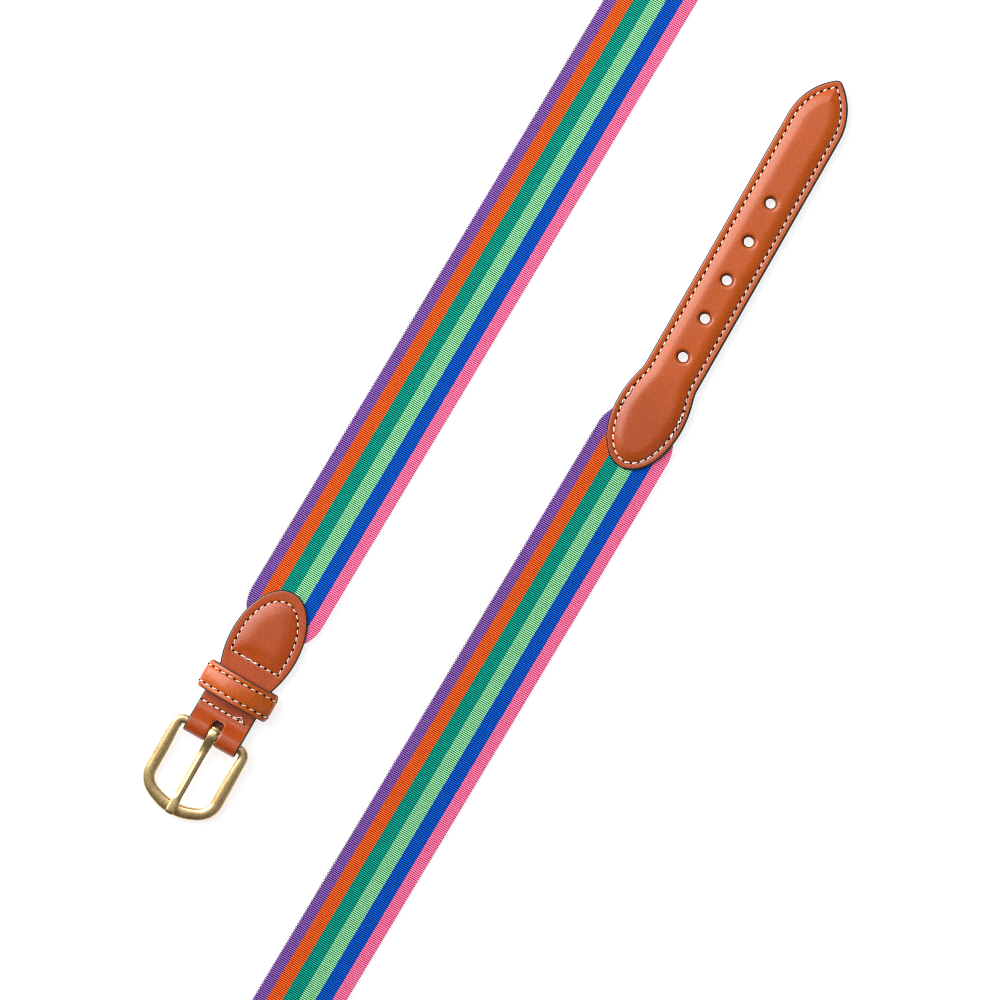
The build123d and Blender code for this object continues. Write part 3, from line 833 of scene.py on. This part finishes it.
def make_tip():
    """The face leather of the tip, its lining, and the painted edge of each."""
    rings = [tip_ring(inset) for inset in ring_insets]
    rows = [np.where(np.abs(rings[-1][:, 1] - centre[1]) < hole_block_half)[0]
            for centre in hole_centres]
    mouths, bottoms = ([(inside[0], inside[-1], circle_target(centre + shift, radius))
                        for inside, centre in zip(rows, hole_centres)]
                       for shift, radius in ((mouth_shift, hole_mouth), (0, hole_radius)))
    face, lining = flat_space(margin_top), flat_space(0)
    front = Shape()
    rims = leather_panel(front, rings, ring_insets, tip_lift, face, mouths, flip=True,
                         painted=paint_reach_with_shade)
    middle_depth = inner_depth(0.5, strap_half - ring_insets[-1])
    top = float(tip_lift(rims[2][:1], middle_depth)[0])
    bore(front, rims, [(hole_mouth, top), (2.86, top - 0.09), (2.6, top - 0.5), (2.28, top - 0.95),
                       (hole_radius, top - 1.3), (hole_radius, -leather)], face, 2)
    hidden_face(front, rings, -leather, face, bottoms, flip=False)
    panel_wall(front, rings[0], float(tip_lift(rings[0][:1], 0)[0]), -leather, face)
    place(front.build("tip_face", [tan, paint, hole_wall]), "strap", "strap_leather",
          "tip_front_leather")

    back = Shape()
    rims = leather_panel(back, [tip_ring(inset) for inset in lining_insets], lining_insets,
                         lining_lift, lining, bottoms, flip=False, painted=painted_lining)
    hidden_face(back, rings, leather, lining, bottoms, flip=True)
    bore(back, rims, [(hole_radius, leather), (hole_radius, 0)], lining, 0)
    panel_wall(back, rings[0], leather, 0.4, lining)
    place(back.build("tip_lining", [tan, paint]), "strap", "lining_leather", "tip_back_leather")


# ---------------- the leather round the heel bar
fold_outer = bar[2]


def fold_profile():
    """Side view of the strip's outer face, from the tab's top round the bar to the back tab's."""
    ramp_end = bar[1] + fold_ramp
    ramp = bezier((bar[1], 2 * fold_outer), (bar[1] + fold_ramp / 2, 2 * fold_outer),
                  (ramp_end - fold_ramp / 2, margin_top), (ramp_end, margin_top), 60)[::-1]
    bend = arc((bar[1], fold_outer), fold_outer, 90, 270, 80)
    line = [[(tab_top_y, margin_top)], ramp, bend[1:], [(tab_top_y, 0)]]
    return spaced(np.concatenate(line), 0.1)


strip_line = fold_profile()
strip_at = run_lengths(strip_line)
strip_length = strip_at[-1]
strip_out = square_to(np.gradient(strip_line, strip_at, axis=0))


def to_back(points):
    """Flat places on the front of the strip, moved to the same places on its back."""
    return points * np.array([1, -1]) + np.array([0, strip_length])


def strip_space(points, heights):
    """Flat places on the strip (across, along) to space, at a height out of its outer face."""
    points, heights = np.broadcast_arrays(points, np.asarray(heights)[..., None])
    out = heights[..., 0]
    y, z, ny, nz = (np.interp(points[..., 1], strip_at, values[:, k])
                    for values in (strip_line, strip_out) for k in range(2))
    return np.stack([end_x + points[..., 0], y + ny * out, z + nz * out], axis=-1)


def strip_ring(inset):
    """Right side of the strip's flat outline moved in by inset, from one tab to the other."""
    half, wide = strap_half - inset, tab_half - inset
    radius = tab_side_radius - inset
    centre_x = tab_half - tab_side_radius
    drop = math.sqrt(radius ** 2 - (half - centre_x) ** 2)
    turn = math.degrees(math.asin(drop / radius))
    front = np.concatenate([arc((0, tab_dome), (wide, tab_dome - inset), -90, 0, 74),
                            arc((centre_x, tab_dome), radius, 0, turn, 40)[1:],
                            np.linspace((half, tab_dome + drop), (half, strip_length / 2), 90)[1:]])
    return np.concatenate([front, to_back(front[::-1][1:])])


def seam_d_path():
    """The D of stitches on the tab, as flat places, closed."""
    row = tab_top_y - (bar[1] + seam_row_reach)
    dome = arc((0, tab_dome), (seam_d_half, tab_dome - seam_d_top), -180, 0, 90)
    low_half = seam_d_half - 0.35
    right = bezier((seam_d_half, tab_dome), (seam_d_half, tab_dome + 4),
                   (low_half, row - 3), (low_half, row), 20)
    foot = np.linspace((low_half, row), (-low_half, row), 40)
    return np.concatenate([dome, right[1:], foot[1:], (right[::-1] * mirror)[1:]])


seam_d = seam_d_path()
seam_d_foot = seam_d[:, 1].max()
foot_start, foot_middle = 110, 128                # the places of these among the D's points
seam_d_sides = np.concatenate([seam_d[foot_middle:], seam_d[:foot_start]])
cross_seam = tab_top_y - (bar[1] + cross_seam_reach)


def distance_to(path, points):
    """Shortest distance from each point to a polyline."""
    flat = points.reshape(-1, 2)
    best = np.full(len(flat), 1e9)
    for a, b in zip(path[:-1], path[1:]):
        way = b - a
        share = np.clip(((flat - a) @ way) / max(way @ way, 1e-12), 0, 1)
        best = np.minimum(best, np.linalg.norm(flat - a - share[:, None] * way, axis=1))
    return best.reshape(points.shape[:-1])


def inside_d(points):
    """Whether flat places lie inside the D of stitches."""
    x, y = np.abs(points[..., 0]), points[..., 1]
    dome = (x / seam_d_half) ** 2 + ((y - tab_dome) / (tab_dome - seam_d_top)) ** 2 < 1
    return np.where(y < tab_dome, dome, (x < seam_d_half - 0.2) & (y < seam_d_foot))


def nearest_at(line, reach):
    """Distance along the strip's line, from either end, to where it is at a reach from the bar."""
    return strip_at[np.argmin(np.abs(line[:len(line) // 2, 0] - (bar[1] + reach)))]


slot_low = nearest_at(strip_line, slot_reach)
slot_high = strip_length - nearest_at(strip_line[::-1], slot_back_reach)
slot_middle, slot_straight = (slot_low + slot_high) / 2, (slot_high - slot_low) / 2 - slot_corner


def slot_distance(points):
    """Distance outside the slot's edge."""
    dx = np.abs(points[..., 0]) - (slot_half - slot_corner)
    dy = np.abs(points[..., 1] - slot_middle) - slot_straight
    outside = np.hypot(np.maximum(dx, 0), np.maximum(dy, 0)) + np.minimum(np.maximum(dx, dy), 0)
    return np.maximum(outside - slot_corner, 0)


def slot_target(point):
    """The place on the slot's edge that a place on the block round it closes to."""
    half = slot_half if point[1] < slot_middle else slot_back_half
    core = np.array([np.clip(point[0], slot_corner - half, half - slot_corner),
                     slot_middle + np.clip(point[1] - slot_middle, -slot_straight, slot_straight)])
    away = point - core
    return core + away / max(np.linalg.norm(away), 1e-9) * slot_corner


def strip_lift(points, inset):
    """Height out of the strip's outer face: rounded edges, seam grooves, the front tab's pad."""
    inset = np.broadcast_to(inset, points.shape[:-1])
    back = points[..., 1] > strip_length / 2
    mirrored = np.where(back[..., None], to_back(points), points)
    from_seam = distance_to(seam_d, mirrored)
    from_sides = distance_to(seam_d_sides, mirrored) * inside_d(mirrored)
    from_foot = (seam_d_foot - mirrored[..., 1]) * inside_d(mirrored)
    pad = 0.92 * pad_rise * pad_shape(from_sides * 0.8) * pad_shape(from_foot * 0.6)
    pad = np.where(back, 0, pad)
    crossing = seam_drop(mirrored[..., 1] - cross_seam) * (np.abs(points[..., 0]) < cross_seam_half)
    lip = -0.3 * np.exp(-(slot_distance(points) / 0.4) ** 2)
    fading = np.maximum(from_seam - swell_reach, 0) / swell_fade
    margin = margin_shape(inset, tab_margin) * np.exp(-fading ** 2)
    height = edge_drop(inset) + margin + (seam_drop(from_seam) + 0.6 * crossing) + pad + lip
    return height + wavy(points, 0.035, 5) * np.clip(inset, 0, 1)


def make_chape():
    """The strip of leather folded round the heel bar, with the tongue's slot."""
    rings = [strip_ring(inset) for inset in ring_insets]
    down = rings[-1][:, 1]
    inside = np.where((down > slot_low - slot_block_margin)
                      & (down < slot_high + slot_block_margin))[0]
    cuts = [(inside[0], inside[-1], slot_target)]
    strip = Shape()
    rim, = leather_panel(strip, rings, ring_insets, strip_lift, strip_space, cuts, flip=True,
                         painted=painted_strip)
    hidden_face(strip, rings, -leather, strip_space, cuts, flip=False)
    edge = strip_lift(rim, ring_insets[-1])
    levels = np.array([edge + (-leather - edge) * share for share in (0, .12, .4, 1)])
    strip.grid(strip_space(rim, levels), around=True, flip=True, slot=2)
    panel_wall(strip, rings[0], float(edge_drop(0)) - 0.1, -leather, strip_space)
    place(strip.build("chape", [tab_tan, paint, paint]), "strap", "strap_leather", "chape_leather")


# ---------------- the keeper
keeper_half_width = (keeper_high[1] - keeper_low[1]) / 2
keeper_y = (keeper_high[1] + keeper_low[1]) / 2


def keeper_path():
    """The keeper's inner line in (x, z), going round from the middle of its underside."""
    half = (keeper_high[0] - keeper_low[0]) / 2 - keeper_wall
    floor, top = keeper_low[2] + keeper_wall, keeper_high[2] - keeper_wall
    low, shoulder = 1.4, top - 5.2
    right = np.concatenate([
        [(0, floor), (half - low, floor)], arc((half - low, floor + low), low, -90, 0, 12)[1:],
        bezier((half, shoulder), (half, shoulder + 1.2),
               (half - 2.0, top - 3.2), (half - 5.0, top - 2.0), 30),
        bezier((half - 5.0, top - 2.0), (half - 8.5, top - 0.6), (3.5, top), (0, top), 30)[1:]])
    line = spaced(looped(with_left(right, -1)), 0.35)[:-1]
    for _ in range(6):
        line = (np.roll(line, 1, axis=0) + line * 2 + np.roll(line, -1, axis=0)) / 4
    return line


keeper_line = keeper_path()
keeper_out = square_to(np.roll(keeper_line, -1, axis=0) - np.roll(keeper_line, 1, axis=0))


def keeper_space(line, across):
    """Places in space of (x, z) ones on the keeper, at places across it."""
    places = np.broadcast_arrays(end_x + line[..., 0], keeper_y + across, line[..., 1])
    return np.stack(places, axis=-1)


def make_keeper():
    """The keeper: a leather band with a padded middle between its two rows of stitches."""
    showing = ease((keeper_line[:, 1] - (margin_top + 0.2)) / 2.0)[:, None]
    across = both_sides([.1, .22, .34, .44, .52, .58, .62, .66, .7, .78, .86, .92, .95, .98, .995,
                         1]) * keeper_half_width
    inset = keeper_half_width - np.abs(across)
    share = np.abs(across) / keeper_half_width
    middle = np.clip(1 - (np.abs(across) / (keeper_row - 0.3)) ** 2, 0, 1) ** 0.7
    rise = (edge_drop(inset, 0.6) + seam_drop(np.abs(across) - keeper_row)) * (0.4 + 0.6 * showing)
    rise = rise + 0.45 * middle * showing + keeper_wall - 0.25 * showing
    upright = np.clip(np.abs(keeper_out[:, :1]) * 1.3, 0, 1)
    rise = rise - (0.35 * share ** 2 + 0.75 * share ** 9) * upright
    rows = keeper_line[:, None] + keeper_out[:, None] * rise[..., None]
    slots = np.zeros((len(rows), len(across) - 1), int)
    slots[:, np.minimum(inset[1:], inset[:-1]) < painted_keeper] = 1
    inner = keeper_space(keeper_line[:, None], keeper_half_width * mirror)
    keeper = Shape()
    keeper.shell(looped(keeper_space(rows, across)), looped(inner), False, slots, wall_slot=1)
    place(keeper.build("keeper", [keeper_tan, paint]), "keeper", "keeper_leather", "keeper_loop")


# ---------------- stitches
def stitch(shape, centre, way, out, length, radius):
    """One stitch: a plump bit of thread that dives into its two needle holes."""
    side = np.cross(out, way)
    u = np.linspace(-1, 1, 9)
    swell = np.sqrt(np.clip(1 - np.abs(u) ** 2.6, 0.02, 1))
    lift = -0.16 + 0.36 * np.sqrt(np.clip(1 - u ** 2 * 0.97, 0, 1))
    slant = chance.uniform(0.1, 0.2)
    middle = (centre + way * (u * length / 2)[:, None] + out * lift[:, None]
              + side * (slant * u)[:, None])
    turn = round_turn(8)
    ring = (side[None] * np.cos(turn)[:, None] + out[None] * 0.8 * np.sin(turn)[:, None]) * radius
    shape.grid(middle[:, None] + ring[None] * swell[:, None, None], around=True)


def needle(shape, centre, way, out, size):
    """A needle hole as painted shade: a small near-black oval, dished a little, on the leather."""
    turn = round_turn(10)
    side = np.cross(out, way)
    rim = way * np.cos(turn)[:, None] * size + side * np.sin(turn)[:, None] * size * 0.9
    profile = ((1.1, -0.1), (1, 0.18), (0.6, 0.12), (0.01, 0.09))
    rows = [centre + rim * share + out * lift for share, lift in profile]
    shape.grid(rows, around=True, slot=1)


def stitch_row(shape, path, outs, pitch, closed=False, thick=0.4, fill=0.6, hole=0.68,
               long_below=None):
    """Stitches along a path in space; outs are the directions out of the leather. hole is the size
    of the painted shade at each needle hole. Where Y is less than long_below the stitches are
    longer and show less of their holes."""
    lengths = run_lengths(path)
    count = max(1, int(round(lengths[-1] / pitch)))
    step = lengths[-1] / count

    def at(distance):
        point, out = (np.array([np.interp(distance, lengths, values[:, k]) for k in range(3)])
                      for values in (path, outs))
        return point, unit(out)

    def way_between(first, last, out):
        """The direction from one place to another, square to out."""
        way = unit(last - first + 1e-9)
        return unit(way - out * (way @ out))

    def long_share(centre):
        return float(ease((long_below - centre[1]) / long_fade)) if long_below else 0.0

    for k in range(count):
        first, last = at(k * step)[0], at((k + 1) * step)[0]
        centre, out = at((k + 0.5) * step)
        way = way_between(first, last, out)
        wobble = np.cross(out, way) * chance.uniform(-0.06, 0.06)
        length = step * (fill + long_gain * long_share(centre)) * chance.uniform(0.94, 1.06)
        middle = (first + last) / 2 * 0.35 + centre * 0.65 + wobble
        stitch(shape, middle, way, out, length, thick * chance.uniform(0.92, 1.06))
    for k in range(count + (0 if closed else 1)):
        centre, out = at(k * step)
        before, after = (at(np.clip(k * step + near, 0, lengths[-1]))[0] for near in (-0.4, 0.4))
        way = way_between(before, after, out)
        size = hole * (1 - hole_loss * long_share(centre)) * chance.uniform(0.9, 1.1)
        needle(shape, centre, way, out, size)


def strand(shape, line, radius=0.24):
    """A loose bit of thread along places in space."""
    line = spaced(line, 0.25)
    way = unit(np.gradient(line, axis=0))
    side = unit(np.cross(way, up))
    over = np.cross(side, way)
    turn = round_turn(8)
    from_end = np.minimum(np.arange(len(line)), np.arange(len(line))[::-1])
    taper = np.clip(from_end / 2 + 0.35, 0, 1)
    ring = side[:, None] * np.cos(turn)[None, :, None] + over[:, None] * np.sin(turn)[None, :, None]
    shape.grid(line[:, None] + ring * (radius * taper)[:, None, None], around=True)


def lifted(points, height, to_space):
    """A flat path's places in space at a height, and the directions out of the leather."""
    low = to_space(points, height)
    return low, unit(to_space(points, height + 1.0) - low)


# doubled stitches, and loose ends of thread as places above the margin, the tab's from the bar
tip_back_tacks = (((-12.4, -59.0), (-13.1, -69.0)), ((12.3, -58.0), (13.2, -66.5)))
tip_loose_ends = [[(12.5, -68.6, 0.1), (12.75, -69.8, 0.35), (13.3, -71.0, 0.25)],
                  [(12.1, -61.0, 0.1), (12.75, -62.3, 0.3), (12.6, -63.6, 0.1)],
                  [(-12.4, -61.0, 0.1), (-12.15, -62.6, 0.3), (-12.55, -64.2, 0.1)]]
tab_loose_ends = [[(3.3, 10.6, 0.1), (4.9, 11.4, 0.45), (6.6, 12.3, 0.6), (7.4, 11.9, 0.5),
                   (8.6, 10.9, 0.15)],
                  [(6.6, 12.2, 0.6), (7.2, 12.9, 0.7)],
                  [(-1.9, 35.9, 0.1), (-0.4, 35.4, 0.35), (1.2, 35.3, 0.1)],
                  [(-5.2, 35.9, 0.1), (-3.9, 35.5, 0.35), (-2.4, 35.5, 0.1)]]


def finish_stitches(shape, name, body):
    """Stitches and the painted shade of their needle holes as one piece."""
    place(shape.build(name, [thread, needle_hole], weld=False), body, "web")


def make_tip_stitches():
    """The tip's seam on both faces, with its doubled stitches and loose ends."""
    loop = spaced(with_left(tip_ring(seam_inset)), 0.3)
    face = flat_space(margin_top)
    shape = Shape()
    path, outs = lifted(loop, tip_lift(loop, seam_inset) + 0.02, face)
    stitch_row(shape, path, outs, tip_stitch, closed=True, long_below=long_stitch_y)
    under = np.append(loop, np.full((len(loop), 1), groove_depth - 0.05), axis=1)
    downs = np.broadcast_to(-up, under.shape)
    stitch_row(shape, under - downs * 0.1, downs, tip_stitch, closed=True, thick=0.22, hole=0.4)
    for first, last in tip_back_tacks:
        path, outs = lifted(np.linspace(first, last, 20), np.full(20, 0.02), face)
        stitch_row(shape, path, outs, tip_stitch, hole=0.42, thick=0.34)
    for ends in tip_loose_ends:
        strand(shape, np.array(ends) + np.array([0, 0, margin_top]), 0.3)
    finish_stitches(shape, "tip_stitches", "strap")


def make_tab_stitches():
    """The D of stitches and the cross seam on both faces of the strip, with their loose ends."""
    shape = Shape()
    d_line = spaced(seam_d, 0.3)
    for back in (False, True):
        thick, hole, cross_hole, sunk = (0.22, 0.3, 0.3, 0.06) if back else (0.32, 0.5, 0.4, 0)
        row = strip_length - cross_seam if back else cross_seam
        rows = ((to_back(d_line) if back else d_line, sunk, (tab_stitch, True, thick, 0.68, hole)),
                (np.linspace((-11.8, row - 0.1), (9.3, row + 0.25), 60), sunk * 4,
                 (cross_stitch, False, thick * 1.25, 0.8, cross_hole)))
        for line, depth, kind in rows:
            path, outs = lifted(line, strip_lift(line, 5.0) + 0.02, strip_space)
            stitch_row(shape, path - outs * depth, outs, *kind)
    for ends in tab_loose_ends:
        strand(shape, np.array(ends) + np.array([end_x, bar[1], margin_top]))
    finish_stitches(shape, "tab_stitches", "strap")


def make_keeper_stitches():
    """The keeper's two rows of stitches, over the part of it that stands above the strap."""
    shape = Shape()
    shown = np.where(keeper_line[:, 1] > margin_top + 0.5)[0]
    start = shown[np.argmax(keeper_line[shown, 0])]
    order = np.roll(np.arange(len(keeper_line)), -start)
    order = order[keeper_line[order, 1] > margin_top + 0.5]
    line, out = keeper_line[order], keeper_out[order]
    rows = line + out * (keeper_wall - groove_depth + 0.03)
    outs = np.stack([out[:, 0], np.zeros(len(rows)), out[:, 1]], axis=1)
    for reach in (-keeper_row, keeper_row):
        path = keeper_space(rows, reach)
        stitch_row(shape, path, outs, keeper_stitch, fill=0.6, hole=0.38, thick=0.29)
    finish_stitches(shape, "keeper_stitches", "keeper")


# ---------------- the buckle
arm_x = (buckle_high[0] - buckle_low[0]) / 2 - arm_width / 2
shoulder_x = strap_half + 0.4
foot_reach = buckle_length + arm_width / 2 - 0.5
tilt = math.asin((bar[2] - arm_height / 2 - floor_gap) / foot_reach)


def rim_line():
    """Centre line of the rim as (x, y) from the right shoulder round the front to the left one."""
    heel = arm_x - shoulder_x
    bow_y = -(buckle_length - front_bow)
    corner_x = arm_x - front_corner
    reach = math.sqrt((front_bow - front_corner) ** 2 - corner_x ** 2)
    corner_y = bow_y - reach
    turn = math.degrees(math.atan2(reach, corner_x))
    half = np.concatenate([
        [(shoulder_x - 0.6, 0)], arc((shoulder_x, -heel), heel, 90, 0, 24),
        np.linspace((arm_x, -heel), (arm_x, corner_y), 40)[1:],
        arc((corner_x, corner_y), front_corner, 0, -turn, 40)[1:],
        arc((0, bow_y), front_bow, -turn, -90, 40)[1:]])
    return spaced(with_left(half), 0.35)


def tilted(points):
    """Places in the buckle's own frame, bar at the origin, turned down to the floor."""
    x, y, z = points[..., 0], points[..., 1], points[..., 2]
    return np.stack([end_x + x, bar[1] + y * math.cos(tilt) - z * math.sin(tilt),
                     bar[2] + y * math.sin(tilt) + z * math.cos(tilt)], axis=-1)


def rim_section():
    """The rim's section: a domed top, rounder outside, and a flatter underside."""
    turn = round_turn(30)
    c, s = np.cos(turn), np.sin(turn)
    power = np.where(s > 0, 0.86, 0.62)
    return (np.sign(c) * np.abs(c) ** 0.78 * arm_width / 2,
            np.sign(s) * np.abs(s) ** power * arm_height / 2)


def make_frame():
    """The rim, whose arms and front are wider than its heels, and the heel bar."""
    line = rim_line()
    outward = -square_to(np.gradient(line, axis=0))
    across, height = rim_section()
    share = np.arange(len(line)) / (len(line) - 1)
    from_heel = np.minimum(share, 1 - share)
    arms, front = ease(from_heel / 0.2), ease((from_heel - 0.36) / 0.12)
    unevenness = 1 + 0.004 * np.sin(share * 37) + 0.003 * np.sin(share * 61 + 1)
    width = (heel_share + arm_gain * arms + front_gain * front) * unevenness
    shift = front_shift * front - arm_shift * arms
    rows = line[:, None] + outward[:, None] * (across * width[:, None] + shift[:, None])[..., None]
    tall = height * (0.92 + 0.08 * ease(from_heel / 0.12))[:, None]
    rim_rows = tilted(np.concatenate([rows, tall[..., None]], axis=-1))
    bar_rows = tilted(np.array([[(x, bar_radius * math.cos(a), bar_radius * math.sin(a))
                                 for a in round_turn(32)]
                                for x in np.linspace(-shoulder_x, shoulder_x, 9)]))
    rim = Shape()
    for rings, flip in ((rim_rows, False), (bar_rows, True)):
        rim.grid(rings, around=True, flip=flip)
        rim.cap(rings[0], not flip)
        rim.cap(rings[-1], flip)
    place(rim.build("buckle_rim", [brass], sharp=55), "frame", "brass", "buckle_frame")


def make_tongue():
    """The tongue: an eye round the heel bar, a humped root, a ridged shank and a flat point."""
    reach = bar[1] - tongue_low[1]
    eye = fold_outer - floor_gap
    wrap = eye + 0.14
    rest = buckle_length - arm_width / 2 + 0.6
    under = arm_height / 2 * math.cos(tilt) - math.sin(tilt) * rest + 0.2
    # distance ahead of the bar, half width, heights of underside, edge and ridge, half flat top
    backs = [(f, 2.1, math.sqrt(eye ** 2 - f ** 2) - 0.7, math.sqrt(wrap ** 2 - f ** 2) - 0.3,
              math.sqrt(wrap ** 2 - f ** 2), 1.0) for f in (-2.2, -1.8, -1.4, -1.0, -0.4)]
    table = np.array([
        *backs, (0.3, 2.1, 3.4, wrap - 0.3, wrap, 1.0),
        (1.2, 2.1, 2.8, wrap - 0.42, wrap - 0.12, 1.0),
        (2.2, 2.1, 1.2, 3.65, 3.92, 1.1), (3.2, 2.1, 0.5, 3.2, 3.42, 1.3),
        (4.6, 2.05, 0.1, 2.5, 2.75, 1.4), (6.4, 1.95, -0.2, 1.75, 2.15, 1.1),
        (8.2, 1.82, under, 1.25, 1.95, 0.5), (9.4, 1.75, under, 1.05, 1.95, 0.22),
        (20.0, 1.75, under, 0.95, 1.9, 0.16), (reach - 8.6, 1.75, under, 0.95, 1.85, 0.16),
        (reach - 7.5, 1.85, under - 0.02, 1.2, 1.8, 0.5),
        (reach - 6.6, 2.0, under - 0.05, 1.5, 1.75, 1.3),
        (reach - 1.2, 2.0, under - 0.05, 1.45, 1.7, 1.3),
        (reach - 0.3, 1.9, under, 1.3, 1.55, 1.15), (reach, 1.6, under + 0.2, 1.0, 1.2, 0.9)])
    at = np.linspace(table[0, 0], reach, 120)
    values = np.stack([np.interp(at, table[:, 0], table[:, k]) for k in range(1, 6)], axis=1)
    for _ in range(2):
        values[1:-1] = (values[:-2] + values[1:-1] * 2 + values[2:]) / 4
    rows = []
    for forward, (half, low, edge, ridge, flat) in zip(at, values):
        right = np.array([(half - 0.3, low), (half, low + 0.35), (half, edge - 0.12),
                          (half - 0.12, edge), (flat + 0.12, ridge - 0.04), (flat - 0.1, ridge),
                          (0, ridge + 0.02)])
        section = np.roll(with_left(right), 1, axis=0)
        rows.append([(x, -forward, z) for x, z in section])
    rows = np.array(rows) + bar
    tongue = Shape()
    tongue.grid(rows, around=True)
    tongue.cap(rows[0], True)
    tongue.cap(rows[-1], False)
    turn = round_turn(48)
    crease = np.where((turn > math.radians(44)) & (turn < math.radians(56)), 0.5, 0)
    bore_radius, side = bar_radius + 0.07, 2.08
    profile = looped([(-side, bore_radius), (-side, eye - 0.55), (-1.4, eye - 0.12), (0, eye),
                      (1.4, eye - 0.12), (side, eye - 0.55), (side, bore_radius)])
    ring = np.array([[(x, (r - d) * math.cos(a), (r - d) * math.sin(a))
                      for a, d in zip(turn, crease * (r > bore_radius))] for x, r in profile]) + bar
    tongue.grid(ring, around=True, flip=True)
    place(tongue.build("tongue", [brass], sharp=35), "tongue", "brass", "buckle_tongue")


# ---------------- floor, light and camera
view_centre = np.array([-37.8, -130.4, 0.0]) / MM
view_turn = math.radians(29.7)
view_side = 430.0 / MM
view_level = 3.0 / MM


def make_stage():
    """A pale floor that glows a little, so that it comes out white."""
    mesh = bpy.data.meshes.new("floor")
    size, level = 4.0, -0.00004
    corners = [(-size, -size), (size, -size), (size, size), (-size, size)]
    mesh.from_pydata([(*corner, level) for corner in corners], [], [(0, 1, 2, 3)])
    pale = Look("pale_floor", 0.9, Base_Color=(0.35, 0.35, 0.355, 1), Specular_IOR_Level=0.0,
                Emission_Color=(1, 1, 1, 1), Emission_Strength=0.79)
    mesh.materials.append(pale.made)
    add_object("floor", mesh)


def area_light(name, heading, elevation, distance, size, power):
    """A soft light over the middle of the view; heading is in degrees from +X."""
    data = bpy.data.lights.new(name, "AREA")
    data.shape, data.size, data.energy = "SQUARE", size, power
    lamp = add_object(name, data)
    a, e = math.radians(heading), math.radians(elevation)
    way = np.array([math.cos(a) * math.cos(e), math.sin(a) * math.cos(e), math.sin(e)])
    lamp.location = view_centre + way * distance
    lamp.rotation_euler = Vector(-way).to_track_quat("-Z", "Y").to_euler()


def make_light():
    """Soft lights, and a sky that is brighter on the key's side."""
    area_light("key", 164.7, 47, 1.7, 1.4, 26)
    area_light("fill", -20, 45, 2.0, 0.9, 1.2)
    area_light("top", 164.7, 84, 2.4, 1.0, 1.8)
    area_light("rim", 172, 17, 1.7, 0.9, 9.5)
    area_light("back", 95, 62, 1.7, 0.6, 2.7)
    world = bpy.data.worlds.new("studio")
    bpy.context.scene.world = world
    world.use_nodes = True
    sky = Nodes(world.node_tree)
    where = sky.add("TexCoord").outputs["Generated"]
    side = sky.add("VectorMath", ((0, where), (1, (-0.87, 0.5, 0.0))), operation="DOT_PRODUCT")
    share = sky.math("MULTIPLY_ADD", side.outputs["Value"], 0.5, 0.5)
    greys = ((0.05, 0.05), (0.45, 0.08), (0.95, 0.22))
    tone = sky.ramp(share, *((at, (grey,) * 3) for at, grey in greys))
    sky.fill(sky.tree.nodes["Background"], [("Color", tone)])


def make_camera():
    """A long lens straight above the middle of the view."""
    data = bpy.data.cameras.new("camera")
    data.type, data.lens, data.sensor_width = "PERSP", 150.0, 36.0
    data.clip_start, data.clip_end = 0.05, 20
    camera = add_object("camera", data)
    distance = view_side * data.lens / data.sensor_width
    camera.location = (view_centre[0], view_centre[1], distance + view_level)
    camera.rotation_euler = (0, 0, view_turn)
    bpy.context.scene.camera = camera


make_camera()
make_light()
make_stage()
bpy.context.scene.view_settings.view_transform = "Standard"
bpy.context.scene.cycles.filter_width = 0.9
bpy.context.scene.cycles.denoising_prefilter = 'NONE'

web = place(make_web(), "strap", "web", "web_core")
ribbon = place(make_ribbon(), "strap", "ribbon", "ribbon_face")
make_tip()
make_chape()
make_keeper()
make_tip_stitches()
make_tab_stitches()
make_keeper_stitches()
make_frame()
make_tongue()

for name, look in (("tip_filler", paint), ("chape_filler", paint), ("fold_filler", split_leather)):
    packing = frame["nodes"][name]
    packing.data.materials.clear()
    packing.data.materials.append(look.made)
